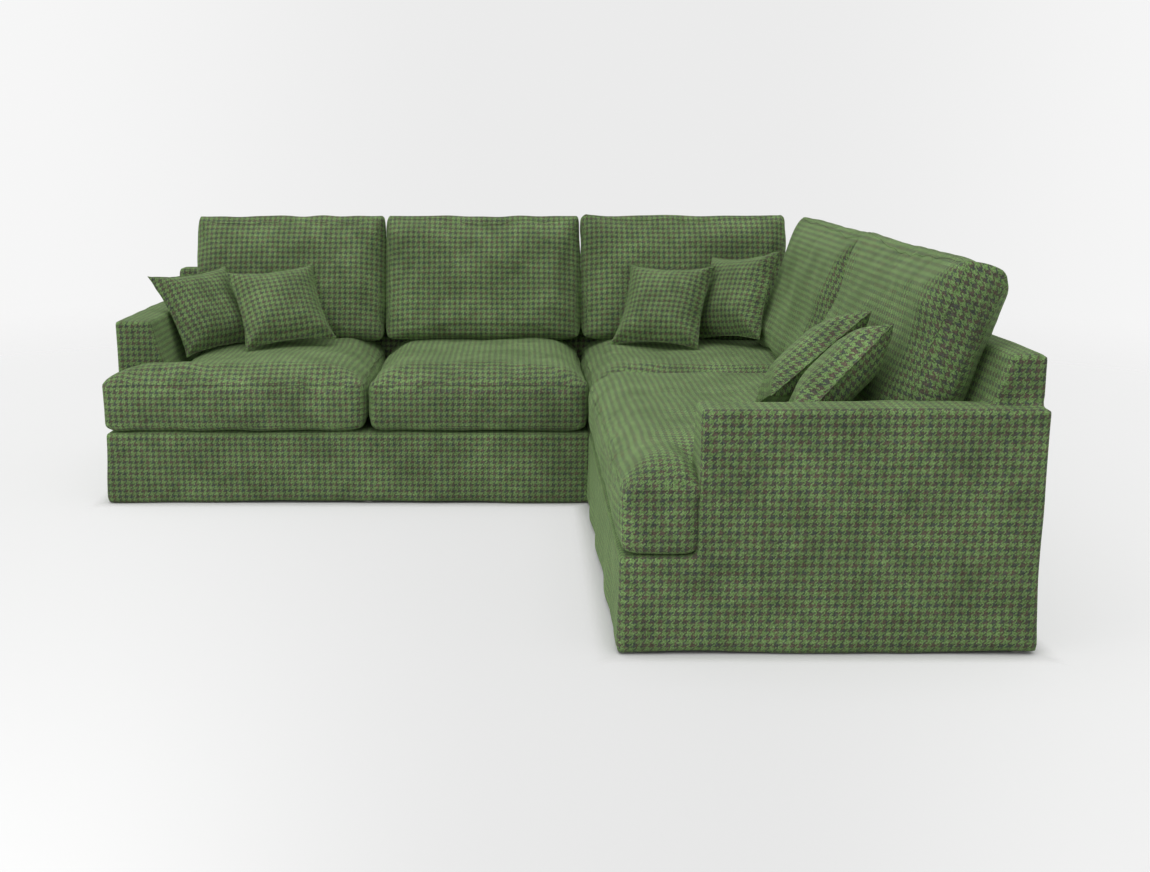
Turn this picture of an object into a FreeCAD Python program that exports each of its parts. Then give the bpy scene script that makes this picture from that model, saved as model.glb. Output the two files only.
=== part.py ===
import FreeCAD, Part
import math
import os
import re
import Sketcher

# Corner sofa in three linked units: a two-seat unit with an arm, a square corner unit and a
# one-seat return with an arm. Loose seat, back and scatter cushions lie on webbed platforms.
# The frame has +Z up and its origin on the floor under the middle of the whole sofa. The long
# run lies along X with its front towards -Y, and the return along Y with its front towards -X.

Vector = FreeCAD.Vector
Rotation = FreeCAD.Rotation
Placement = FreeCAD.Placement

DIMENSIONS = [
    # Whole sofa
    ("unit_depth", 1000, "front of a base to the outside of its back"),
    ("left_length", 1640, "two-seat unit, from the corner unit to the outside of its arm"),
    ("return_length", 1450, "return unit, from the corner unit to the outside of its arm"),
    ("deck_height", 240, "floor to the deck that the seat cushions lie on"),
    ("arm_height", 600, "floor to the top of an arm"),
    ("back_height", 720, "floor to the top of a fixed back"),
    ("hem_clearance", 12, "floor to the hem of the base covers"),
    ("ear_overhang_side", 14, "left seat cushion past the side of its base"),
    ("ear_overhang_end", 5, "return seat cushion past the end of its base"),
    # Arms and backs
    ("arm_top_width", 116, "width across the top of an arm"),
    ("arm_rake", 15.8, "slope of an arm's inner face, degrees off plumb"),
    ("arm_setback", 187, "front of a base to the front of its arm"),
    ("back_top_width", 77, "width across the top of a back"),
    ("back_rake", 18.6, "slope of a back's inner face, degrees off plumb"),
    ("back_end_setback", 56, "outside of an arm to the end of the back above it"),
    ("cloth", 3, "upholstery cloth with its lining"),
    ("padding", 18, "foam and fibre between cloth and frame"),
    # Timber frame
    ("rail_thickness", 25, "seat rails"),
    ("rail_bottom", 46, "floor to the underside of the seat rails"),
    ("rail_top", 200, "floor to the top of the seat rails"),
    ("top_rail_height", 45, "rail along the top of an arm or back frame"),
    ("rib_thickness", 25, "upright boards in an arm or back frame"),
    ("rib_spacing", 250, "most that two upright boards stand apart"),
    ("block_leg", 70, "leg of a triangular glue block in a frame corner"),
    ("block_height", 90, "height of a glue block"),
    ("foot_side", 60, "square block foot"),
    ("foot_chamfer", 5, "bevel round the lower edge of a foot"),
    ("glide_diameter", 32, "nylon glide under each foot"),
    ("glide_height", 6, "nylon glide under each foot"),
    ("lining", 1, "dust cover under each unit"),
    # Webbing
    ("strap_width", 60, "elastic webbing"),
    ("strap_thickness", 2, "elastic webbing"),
    ("strap_spacing", 110, "one strap to the next"),
    # Fasteners between the units
    ("bolt_diameter", 8, "linking bolts"),
    ("bolt_head_diameter", 20, "linking bolts"),
    ("bolt_head_height", 5, "linking bolts"),
    ("bolt_end", 8, "bolt standing out past its nut"),
    ("nut_diameter", 18, "across the corners of a linking nut"),
    ("nut_height", 7, "linking nut"),
    ("bolt_level", 120, "floor to the linking bolts"),
    ("bolt_inset", 160, "edge of the shared side to the nearest linking bolt"),
    ("running_clearance", 0.5, "round a bolt in its hole"),
    # Seat cushions
    ("seat_edge_height", 412, "floor to the top seam of a seat cushion"),
    ("seat_crown", 60, "rise of a seat cushion above its top seam"),
    ("seat_front_overhang", 10, "seat cushion past the front of its base"),
    ("seat_corner", 24, "plan radius of a seat cushion's corners"),
    ("seat_round", 24, "rounding of a seat cushion's lower edge"),
    ("seat_draw", 5, "how far a seat cushion's seams draw in between its corners"),
    ("seat_split", 755, "corner unit's side to the joint between the two left seats"),
    ("reach_front", 110, "front seam of a seat cushion to its flat middle"),
    ("reach_side", 130, "side seam of a seat cushion to its flat middle"),
    ("reach_arm", 205, "arm seam of a seat cushion to its flat middle"),
    ("reach_rear", 60, "rear seam of a seat cushion to its flat middle"),
    # Back cushions
    ("back_cushion_top", 932, "floor to the top of a back cushion"),
    ("back_cushion_thickness", 200, "back cushion, square to the back it leans on"),
    ("back_cushion_crown", 45, "rise of a back cushion's face past its seam"),
    ("back_cushion_draw", 9, "how far a back cushion's sides draw in between its corners"),
    ("back_cushion_corner", 12, "radius of a back cushion's seam corners"),
    ("back_cushion_reach", 120, "seam to the flat middle of a back cushion's face"),
    ("back_cushion_heel", 45, "lower seam to the flat middle of a back cushion's face"),
    ("back_cushion_gap", 8, "between neighbouring back cushions"),
    ("return_back_split", 285, "corner unit's front to the joint between the return's backs"),
    # Scatter cushions
    ("scatter_size", 345, "side of a scatter cushion"),
    ("scatter_thickness", 130, "scatter cushion at its middle"),
    ("scatter_draw", 20, "how far a scatter cushion's sides draw in"),
    ("scatter_corner", 5, "radius of a scatter cushion's corners"),
    ("scatter_reach", 140, "seam to the flat middle of a scatter cushion's face"),
    # Clearances
    ("rest_gap", 0.3, "between a loose cushion and what it rests on"),
    ("side_gap", 2, "between neighbouring seat cushions and beside the arms"),
]

# Main lines of the plan and the sections, worked out from the sheet
LINES = [
    ("x_right", "(left_length + unit_depth + ear_overhang_side) / 2"),
    ("x_link", "x_right - unit_depth"),
    ("x_left", "x_link - left_length"),
    ("x_split", "x_link - seat_split"),
    ("y_back", "(return_length + unit_depth + ear_overhang_end) / 2"),
    ("y_link", "y_back - unit_depth"),
    ("y_near", "y_link - return_length"),
    ("y_split", "y_link - return_back_split"),
    ("left_arm_front", "y_link + arm_setback"),
    ("return_arm_front", "x_link + arm_setback"),
    ("core", "cloth + padding"),
    ("below_deck", "deck_height - padding"),
    ("arm_slope", "tan(arm_rake * 1deg)"),
    ("back_slope", "tan(back_rake * 1deg)"),
    ("arm_at_deck", "arm_top_width + (arm_height - deck_height) * arm_slope"),
    ("back_at_deck", "back_top_width + (back_height - deck_height) * back_slope"),
    ("arm_at_rail", "arm_top_width + (arm_height - rail_top) * arm_slope"),
    ("back_at_rail", "back_top_width + (back_height - rail_top) * back_slope"),
    ("web_top", "rail_top + 2 * strap_thickness"),
    ("seat_top", "seat_edge_height + seat_crown"),
]

doc = FreeCAD.newDocument("CornerSofa")
sheet = doc.addObject("Spreadsheet::Sheet", "Dims")
for row, (alias, value, note) in enumerate(DIMENSIONS, start=1):
    sheet.set(f"A{row}", alias)
    sheet.set(f"B{row}", str(value))
    sheet.set(f"C{row}", note)
    sheet.setAlias(f"B{row}", alias)
doc.recompute()

OWNERS = {alias: "Dims" for alias, _, _ in DIMENSIONS}
OWNERS.update({name: "Plan" for name, _ in LINES})
NAME = re.compile(r"\b(" + "|".join(sorted(OWNERS, key=len, reverse=True)) + r")\b")
PIECES = []


def bound(text):
    """An expression on size and line names, with the object that holds each one."""
    return NAME.sub(lambda found: f"{OWNERS[found.group()]}.{found.group()}", text)


plan = doc.addObject("App::VarSet", "Plan")
for name, expression in LINES:
    plan.addProperty("App::PropertyFloat", name, "Lines")
    plan.setExpression(name, bound(expression))
    doc.recompute()


NUMBERS = {alias: float(sheet.get(alias)) for alias, _, _ in DIMENSIONS}
NUMBERS.update({name: float(getattr(plan, name)) for name, _ in LINES})


def size(name):
    """The number that a size or a line holds."""
    return NUMBERS[name]


def keep(label, objects):
    """One node of the model: a single solid, or a group of separate ones."""
    node = objects[0] if len(objects) == 1 else group(label, objects)
    node.Label = label
    PIECES.append(node)
    return node


def group(name, objects):
    made = doc.addObject("Part::Compound", name)
    made.Links = list(objects)
    return made


def cut(name, base, tool):
    made = doc.addObject("Part::Cut", name)
    made.Base = base
    made.Tool = tool
    return made


def fuse(name, first, second):
    made = doc.addObject("Part::Fuse", name)
    made.Base = first
    made.Tool = second
    made.Refine = True
    return made


def box(name, x, y, z):
    """A block between three pairs of expressions."""
    made = doc.addObject("Part::Box", name)
    for side, (low, high) in zip(("Length", "Width", "Height"), (x, y, z)):
        made.setExpression(side, bound(f"({high}) - ({low})"))
    for axis, (low, _) in zip("xyz", (x, y, z)):
        made.setExpression(f"Placement.Base.{axis}", bound(low))
    return made


def frustum(name, x, x_top, y, y_top, z):
    """A block whose bottom and top rectangles differ. Its height runs along the wedge's Y."""
    made = doc.addObject("Part::Wedge", name)
    limits = {
        "Xmin": x[0], "Xmax": x[1], "X2min": x_top[0], "X2max": x_top[1],
        "Ymin": z[0], "Ymax": z[1],
        "Zmin": f"-({y[1]})", "Zmax": f"-({y[0]})",
        "Z2min": f"-({y_top[1]})", "Z2max": f"-({y_top[0]})",
    }
    for limit, expression in limits.items():
        made.setExpression(limit, bound(expression))
    made.Placement = Placement(Vector(0, 0, 0), Rotation(Vector(1, 0, 0), 90))
    return made


def bar(name, radius, length, base, axis=Vector(0, 0, 1)):
    """A round bar from base along axis."""
    made = doc.addObject("Part::Cylinder", name)
    made.setExpression("Radius", bound(radius))
    made.setExpression("Height", bound(length))
    made.Placement = Placement(Vector(0, 0, 0), Rotation(Vector(0, 0, 1), axis))
    for letter, expression in zip("xyz", base):
        made.setExpression(f"Placement.Base.{letter}", bound(expression))
    return made


# Arms and fixed backs

class Leaning:
    """An arm or a back: plumb outside, raked inside, running along X or Y.

    outer is its plumb face, inward is +1 or -1 towards its raked face, and run is its two
    ends. An inset shrinks it by that much, square to every face.
    """

    def __init__(self, kind, along, outer, inward, run):
        self.kind = kind
        self.along = along
        self.outer = outer
        self.inward = inward
        self.run = run

    def inner(self, level, inset="0"):
        """Where the raked face stands at a level, as an expression."""
        width = f"{self.kind}_top_width + ({self.kind}_height - ({level})) * {self.kind}_slope"
        skin = f"({inset}) / cos({self.kind}_rake * 1deg)"
        return f"(({self.outer}) + ({self.inward}) * ({width} - {skin}))"

    def inner_at(self, level):
        """The same, as a number."""
        rise = size(f"{self.kind}_height") - level
        width = size(f"{self.kind}_top_width") + rise * size(f"{self.kind}_slope")
        return size(self.outer) + self.inward * width

    def solid(self, name, inset="0", run=None, low="deck_height", high=None):
        high = high or f"({self.kind}_height - ({inset}))"
        run = run or (f"({self.run[0]}) + ({inset})", f"({self.run[1]}) - ({inset})")
        plumb = f"(({self.outer}) + ({self.inward}) * ({inset}))"
        spans = []
        for level in (low, high):
            pair = (plumb, self.inner(level, inset))
            spans.append(pair if self.inward > 0 else pair[::-1])
        if self.along == "X":
            return frustum(name, run, run, spans[0], spans[1], (low, high))
        return frustum(name, spans[0], spans[1], run, run, (low, high))


LEFT_ARM = Leaning("arm", "Y", "x_left", 1, ("left_arm_front", "y_back"))
RETURN_ARM = Leaning("arm", "X", "y_near", 1, ("return_arm_front", "x_right"))
LEFT_BACK = Leaning("back", "X", "y_back", -1, ("x_left + back_end_setback", "x_link"))
CORNER_BACK = Leaning("back", "X", "y_back", -1, ("x_link", "x_right"))
CORNER_SIDE = Leaning("back", "Y", "x_right", -1, ("y_link", "y_back"))
RETURN_BACK = Leaning("back", "Y", "x_right", -1, ("y_near + back_end_setback", "y_link"))


class Neighbour:
    """What one end of an upholstered back butts against, and how much of that end it takes."""

    def __init__(self, section, low_end=None, high_end=None):
        self.section = section
        self.low_end = low_end
        self.high_end = high_end


def rib_count(run):
    """How many upright boards a run needs, so that none stands further apart than allowed."""
    length = span(run)
    return max(2, math.ceil(length / (size("rib_spacing") + size("rib_thickness"))) + 1)


def span(run):
    """The length between two expressions, read from a helper bar."""
    ruler = bar("ruler", "1", f"({run[1]}) - ({run[0]})", ("0", "0", "0"))
    doc.recompute()
    length = ruler.Height.Value
    doc.removeObject(ruler.Name)
    return length


def upholstered(label, parts):
    """Cloth, padding and timber of arms or backs, each cut clear of the neighbour it meets."""
    layers = {"cover": [], "pad": [], "frame": []}
    for index, (section, neighbour) in enumerate(parts):
        stem = f"{label}_{index}"
        rail_low = f"({section.kind}_height - core - top_rail_height)"
        shell = cut(f"{stem}_shell", section.solid(f"{stem}_outside"),
                    section.solid(f"{stem}_lined", "cloth", low="below_deck"))
        wadding = cut(f"{stem}_wadding", section.solid(f"{stem}_wadding_outside", "cloth"),
                      section.solid(f"{stem}_wadding_inside", "core", low="below_deck"))
        rail = section.solid(f"{stem}_top_rail", "core", low=rail_low)
        if neighbour:
            shell = cut(f"{stem}_shell_fitted", shell, neighbour_space(stem, "shell", neighbour))
            wadding = cut(f"{stem}_wadding_fitted", wadding,
                          neighbour_space(stem, "wadding", neighbour))
            rail = cut(f"{stem}_rail_fitted", rail, neighbour_space(stem, "rail", neighbour))
        layers["cover"].append(shell)
        layers["pad"].append(wadding)
        layers["frame"].append(rail)
        layers["frame"] += ribs(stem, section, neighbour, rail_low)
    for layer, objects in layers.items():
        keep(f"{label}_{layer}", objects)


def neighbour_space(stem, layer, neighbour):
    return neighbour.section.solid(f"{stem}_{layer}_space", low="below_deck")


def ribs(stem, section, neighbour, rail_low):
    """Upright boards evenly spaced, from the webbing on the seat rails up to the top rail."""
    low = f"{section.run[0]} + core"
    high = f"{section.run[1]} - core - rib_thickness"
    if neighbour:
        low = neighbour.low_end or low
        high = neighbour.high_end or high
    count = rib_count((low, high))
    boards = []
    for number in range(count):
        start = f"(({low}) + (({high}) - ({low})) * {number} / {count - 1})"
        boards.append(section.solid(f"{stem}_rib_{number}", "core",
                                    (start, f"{start} + rib_thickness"), "web_top", rail_low))
    return boards


upholstered("left_arm", [(LEFT_ARM, None)])
upholstered("return_arm", [(RETURN_ARM, None)])
upholstered("left_back", [
    (LEFT_BACK, Neighbour(LEFT_ARM, low_end="x_left + arm_at_rail"))])
upholstered("return_back", [
    (RETURN_BACK, Neighbour(RETURN_ARM, low_end="y_near + arm_at_rail"))])
upholstered("corner_back", [
    (CORNER_BACK, None),
    (CORNER_SIDE, Neighbour(CORNER_BACK, high_end="y_back - back_at_rail - rib_thickness"))])


# Seat bases: cloth, rails, glue blocks, feet, webbing and deck

class Unit:
    """One of the three seat bases. depth_axis is the way from its front to its back."""

    def __init__(self, name, x, y, depth_axis):
        self.name = name
        self.x = x
        self.y = y
        self.depth_axis = depth_axis

    def inside(self, inset):
        """The plan of the base, shrunk by an inset on all four sides."""
        return [(f"({low} + {inset})", f"({high} - {inset})") for low, high in (self.x, self.y)]


LEFT = Unit("left", ("x_left", "x_link"), ("y_link", "y_back"), "Y")
CORNER = Unit("corner", ("x_link", "x_right"), ("y_link", "y_back"), "Y")
RETURN = Unit("return", ("x_link", "x_right"), ("y_near", "y_link"), "X")
UNITS = (LEFT, CORNER, RETURN)
RAIL_LEVELS = ("rail_bottom", "rail_top")
SPRUNG_DEPTH = "back_at_deck - rail_thickness"


def bolt_places(before):
    """Where each linking bolt crosses a shared side, from a point before it, and its direction."""
    places = []
    for y in ("y_link + bolt_inset", "y_back - bolt_inset"):
        places.append(((f"x_link - ({before})", y, "bolt_level"), Vector(1, 0, 0)))
    for x in ("x_link + bolt_inset", "x_right - bolt_inset"):
        places.append(((x, f"y_link - ({before})", "bolt_level"), Vector(0, 1, 0)))
    return places


def bolt_holes(name):
    """The clearance holes that the linking bolts pass through."""
    reach = "2 * (cloth + rail_thickness)"
    return group(name, [
        bar(f"{name}_{number}", "bolt_diameter / 2 + running_clearance", f"2 * {reach}",
            start, axis)
        for number, (start, axis) in enumerate(bolt_places(reach))])


def base_cover(unit):
    """The cloth wall round a base, from its hem up to the deck."""
    outside = box(f"{unit.name}_base_outside", unit.x, unit.y, ("hem_clearance", "deck_height"))
    inside = box(f"{unit.name}_base_inside", *unit.inside("cloth"),
                 ("0", "deck_height + padding"))
    ring = cut(f"{unit.name}_base_ring", outside, inside)
    keep(f"{unit.name}_base_cover",
         [cut(f"{unit.name}_base_drilled", ring, bolt_holes(f"{unit.name}_cover_holes"))])


def seat_frame(unit):
    """Front, rear, side and sprung rails, with a middle rail in the two-seat unit."""
    x, y = unit.inside("cloth")
    x_in, y_in = unit.inside("(cloth + rail_thickness)")
    name = unit.name
    rails = [
        box(f"{name}_rail_near", x, (y[0], y_in[0]), RAIL_LEVELS),
        box(f"{name}_rail_far", x, (y_in[1], y[1]), RAIL_LEVELS),
        box(f"{name}_rail_low", (x[0], x_in[0]), y_in, RAIL_LEVELS),
        box(f"{name}_rail_high", (x_in[1], x[1]), y_in, RAIL_LEVELS),
    ]
    if unit.depth_axis == "Y":
        sprung = (f"y_back - ({SPRUNG_DEPTH}) - rail_thickness", f"y_back - ({SPRUNG_DEPTH})")
        rails.append(box(f"{name}_rail_sprung", x_in, sprung, RAIL_LEVELS))
    else:
        sprung = (f"x_right - ({SPRUNG_DEPTH}) - rail_thickness", f"x_right - ({SPRUNG_DEPTH})")
        rails.append(box(f"{name}_rail_sprung", sprung, y_in, RAIL_LEVELS))
    if unit is LEFT:
        middle = ("x_split - rail_thickness / 2", "x_split + rail_thickness / 2")
        rails.append(box(f"{name}_rail_middle", middle, (y_in[0], sprung[0]), RAIL_LEVELS))
    frame = group(f"{name}_rails", rails)
    keep(f"{name}_seat_frame",
         [cut(f"{name}_rails_drilled", frame, bolt_holes(f"{name}_rail_holes"))])


def glue_block(name, corner, towards):
    """A triangular block with its square corner in a corner of the frame."""
    body = doc.addObject("PartDesign::Body", name)
    outline = body.newObject("Sketcher::SketchObject", f"{name}_outline")
    floor = [plane for plane in body.Origin.OriginFeatures if plane.Role == "XY_Plane"][0]
    outline.AttachmentSupport = [(floor, "")]
    outline.MapMode = "FlatFace"
    leg = size("block_leg")
    points = [Vector(0, 0, 0), Vector(leg * towards[0], 0, 0), Vector(0, leg * towards[1], 0)]
    for start, end in zip(points, points[1:] + points[:1]):
        outline.addGeometry(Part.LineSegment(start, end))
    for side in range(3):
        outline.addConstraint(Sketcher.Constraint("Coincident", side, 2, (side + 1) % 3, 1))
    outline.addConstraint(Sketcher.Constraint("Coincident", 0, 1, -1, 1))
    outline.addConstraint(Sketcher.Constraint("Horizontal", 0))
    outline.addConstraint(Sketcher.Constraint("Vertical", 2))
    for side in (0, 2):
        number = outline.addConstraint(Sketcher.Constraint("Distance", side, leg))
        outline.setExpression(f"Constraints[{number}]", bound("block_leg"))
    pad = body.newObject("PartDesign::Pad", f"{name}_pad")
    pad.Profile = outline
    pad.setExpression("Length", bound("block_height"))
    for letter, expression in zip("xyz", (*corner, "rail_bottom")):
        body.setExpression(f"Placement.Base.{letter}", bound(expression))
    return body


def glue_blocks():
    """Triangular blocks glued in the corners of the three seat frames."""
    blocks = []
    for unit in UNITS:
        x, y = unit.inside("(cloth + rail_thickness)")
        for x_side, towards_x in zip(x, (1, -1)):
            for y_side, towards_y in zip(y, (1, -1)):
                blocks.append(glue_block(f"{unit.name}_block_{len(blocks)}",
                                         (x_side, y_side), (towards_x, towards_y)))
    keep("glue_blocks", blocks)


def foot_places(unit):
    """Low corner of every foot in plan: frame corners, and the ends of a middle rail."""
    x, y = unit.inside("cloth")
    across = [x[0], f"({x[1]} - foot_side)"]
    if unit is LEFT:
        across.append("(x_split - foot_side / 2)")
    return [(low_x, low_y) for low_x in across for low_y in (y[0], f"({y[1]} - foot_side)")]


def foot(name, place, levels):
    """The square space of a foot between two levels."""
    x, y = place
    return box(name, (x, f"{x} + foot_side"), (y, f"{y} + foot_side"), levels)


def feet():
    """Block feet with their lower edges bevelled, each on a round glide."""
    blocks = []
    glides = []
    for x, y in [place for unit in UNITS for place in foot_places(unit)]:
        name = f"foot_{len(blocks)}"
        block = foot(f"{name}_block", (x, y), ("glide_height", "rail_bottom"))
        doc.recompute()
        bevelled = doc.addObject("Part::Chamfer", name)
        bevelled.Base = block
        lowest = block.Shape.BoundBox.ZMin
        bevel = size("foot_chamfer")
        bevelled.Edges = [(number, bevel, bevel)
                          for number, edge in enumerate(block.Shape.Edges, start=1)
                          if edge.BoundBox.ZMax - lowest < edge.BoundBox.DiagonalLength / 2]
        blocks.append(bevelled)
        glides.append(bar(f"glide_{len(glides)}", "glide_diameter / 2", "glide_height",
                          (f"{x} + foot_side / 2", f"{y} + foot_side / 2", "0")))
    keep("feet", blocks)
    keep("glides", glides)


def dust_covers():
    """The lining stapled under each frame, cut out round its feet."""
    linings = []
    for unit in UNITS:
        name = f"{unit.name}_lining"
        flat = box(name, *unit.inside("cloth"), ("rail_bottom - lining", "rail_bottom"))
        spaces = [foot(f"{name}_foot_{number}", place, ("0", "rail_top"))
                  for number, place in enumerate(foot_places(unit))]
        linings.append(cut(f"{name}_cut", flat, group(f"{name}_feet", spaces)))
    keep("dust_covers", linings)


def straps(unit):
    """Elastic webbing: straps from front to back, and straps across on top of them."""
    x, y = unit.inside("cloth")
    far = {"X": f"x_right - ({SPRUNG_DEPTH})", "Y": f"y_back - ({SPRUNG_DEPTH})"}
    if unit.depth_axis == "Y":
        near, along, x_axis_depth = y[0], x, False
    else:
        near, along, x_axis_depth = x[0], y, True
    depth = (near, far[unit.depth_axis])
    lower = ("rail_top", "rail_top + strap_thickness")
    upper = ("rail_top + strap_thickness", "web_top")
    layers = []
    for run, cross, levels, lengthways in ((along, depth, lower, True), (depth, along, upper, False)):
        count = max(2, int(span(run) / size("strap_spacing")))
        row = []
        for number in range(count):
            middle = f"({run[0]} + ({run[1]} - {run[0]}) * {2 * number + 1} / {2 * count})"
            width = (f"{middle} - strap_width / 2", f"{middle} + strap_width / 2")
            x_run = width if lengthways != x_axis_depth else cross
            y_run = cross if lengthways != x_axis_depth else width
            row.append(box(f"{unit.name}_strap_{len(layers)}_{number}", x_run, y_run, levels))
        layers.append(row)
    return layers


def webbing():
    lower = []
    upper = []
    for unit in UNITS:
        low_row, high_row = straps(unit)
        lower += low_row
        upper += high_row
    keep("webbing_lengthways", lower)
    keep("webbing_crossways", upper)


def deck(unit):
    """The padded deck on the webbing, reaching past the front of an arm where there is one."""
    x, y = unit.inside("cloth")
    levels = ("web_top", "deck_height")
    name = f"{unit.name}_deck"
    if unit is LEFT:
        main = box(f"{name}_main", ("x_left + arm_at_deck", x[1]), (y[0], "y_back - back_at_deck"),
                   levels)
        ear = box(f"{name}_ear", (x[0], "x_left + arm_at_deck"), (y[0], "left_arm_front"), levels)
        keep(name, [fuse(f"{name}_whole", main, ear)])
    elif unit is RETURN:
        main = box(f"{name}_main", (x[0], "x_right - back_at_deck"),
                   ("y_near + arm_at_deck", y[1]), levels)
        ear = box(f"{name}_ear", (x[0], "return_arm_front"), (y[0], "y_near + arm_at_deck"),
                  levels)
        keep(name, [fuse(f"{name}_whole", main, ear)])
    else:
        keep(name, [box(f"{name}_main", (x[0], "x_right - back_at_deck"),
                        (y[0], "y_back - back_at_deck"), levels)])


def link_bolts():
    """Bolts through the shared sides, with a washer-faced nut on each."""
    bolts = []
    nuts = []
    grip = "(cloth + rail_thickness)"
    for number, (start, axis) in enumerate(bolt_places(f"{grip} + bolt_head_height")):
        name = f"bolt_{number}"
        head = bar(f"{name}_head", "bolt_head_diameter / 2", "bolt_head_height", start, axis)
        shank = bar(f"{name}_shank", "bolt_diameter / 2",
                    f"bolt_head_height + 2 * {grip} + nut_height + bolt_end", start, axis)
        bolts.append(fuse(name, head, shank))
    for number, (start, axis) in enumerate(bolt_places(f"-{grip}")):
        nut = doc.addObject("Part::Prism", f"nut_{number}_blank")
        nut.Polygon = 6
        nut.setExpression("Circumradius", bound("nut_diameter / 2"))
        nut.setExpression("Height", bound("nut_height"))
        nut.Placement = Placement(Vector(0, 0, 0), Rotation(Vector(0, 0, 1), axis))
        for letter, expression in zip("xyz", start):
            nut.setExpression(f"Placement.Base.{letter}", bound(expression))
        bore = bar(f"nut_{number}_bore", "bolt_diameter / 2", "nut_height", start, axis)
        nuts.append(cut(f"nut_{number}", nut, bore))
    keep("link_bolts", bolts)
    keep("link_nuts", nuts)


for unit in UNITS:
    base_cover(unit)
    seat_frame(unit)
    deck(unit)
glue_blocks()
feet()
dust_covers()
webbing()
link_bolts()


# Loose cushions, lofted through outlines of side and corner arcs

STEPS = 5
STEP_CROWDING = 1.4
CROWN_POWER = 2.4
LOWER_EDGE_STEPS = 3
SHORT_SIDE_SHARE = 0.4
LEAST_DRAW = 0.02
MOST_DRAW_SHARE = 0.06


def crown_steps():
    """Share of the way in from a seam, and share of the crown's rise reached there."""
    shares = [(step / STEPS) ** STEP_CROWDING for step in range(STEPS + 1)]
    return [(share, 1 - (1 - share) ** CROWN_POWER) for share in shares]


CROWN = crown_steps()


def crown_rise(share):
    """Share of the rise at any share of the way in, along the straight runs of the loft."""
    for (share_a, rise_a), (share_b, rise_b) in zip(CROWN, CROWN[1:]):
        if share <= share_b:
            return rise_a + (rise_b - rise_a) * (share - share_a) / (share_b - share_a)
    return 1


def side_directions(corners):
    """Unit direction of every side of an outline whose corners are all square."""
    directions = []
    for (ax, ay), (bx, by) in zip(corners, corners[1:] + corners[:1]):
        length = math.hypot(bx - ax, by - ay)
        directions.append(((bx - ax) / length, (by - ay) / length, length))
    return directions


def shrink(corners, insets):
    """The outline with each side moved inwards by its own inset."""
    sides = side_directions(corners)
    moved = []
    for index, (x, y) in enumerate(corners):
        for side, inset in ((index - 1, insets[index - 1]), (index, insets[index])):
            x -= sides[side][1] * inset
            y += sides[side][0] * inset
        moved.append((x, y))
    return moved


def ring(corners, radius, draws, to_space):
    """A closed wire: rounded corners joined by sides that draw in between them.

    A corner that turns the other way, round the front of an arm, stays nearly sharp.
    """
    sides = side_directions(corners)
    radius = min([radius] + [side[2] * SHORT_SIDE_SHARE for side in sides])
    starts = []
    edges = []
    for index, (x, y) in enumerate(corners):
        back_x, back_y, _ = sides[index - 1]
        next_x, next_y, _ = sides[index]
        turns_out = back_x * next_y - back_y * next_x > 0
        bend = radius if turns_out else size("side_gap")
        inside = bend * (1 - math.sqrt(0.5))
        start = (x - back_x * bend, y - back_y * bend)
        middle = (x + (next_x - back_x) * inside, y + (next_y - back_y) * inside)
        end = (x + next_x * bend, y + next_y * bend)
        starts.append((start, middle, end))
    for index, (start, middle, end) in enumerate(starts):
        edges.append(arc(start, middle, end, to_space))
        following = starts[(index + 1) % len(starts)][0]
        direction_x, direction_y, length = sides[index]
        draw = min(draws[index], (length - 2 * radius) * MOST_DRAW_SHARE)
        if draw < LEAST_DRAW:
            edges.append(Part.LineSegment(to_space(*end), to_space(*following)).toShape())
        else:
            halfway = ((end[0] + following[0]) / 2 - direction_y * draw,
                       (end[1] + following[1]) / 2 + direction_x * draw)
            edges.append(arc(end, halfway, following, to_space))
    return Part.Wire(edges)


def arc(start, middle, end, to_space):
    return Part.Arc(to_space(*start), to_space(*middle), to_space(*end)).toShape()


def loft(wires):
    """A closed solid through the wires, with straight runs between them."""
    solid = Part.makeLoft(wires, True, True)
    if solid.Volume < 0:
        solid.reverse()
    return solid


def hollow(outside, inside):
    """A solid with a closed hollow in it."""
    space = inside.Shells[0].copy()
    space.reverse()
    return Part.makeSolid(Part.makeCompound([outside.Shells[0], space]))


def cloth_and_filling(label, form):
    """A cushion's sewn cover as a shell, and the filling inside it."""
    cover = doc.addObject("Part::Feature", f"{label}_cover")
    cover.Shape = hollow(form(0), form(size("cloth")))
    filling = doc.addObject("Part::Feature", f"{label}_filling")
    filling.Shape = form(size("cloth") + size("rest_gap"))
    keep(f"{label}_cover", [cover])
    keep(f"{label}_filling", [filling])


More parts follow.
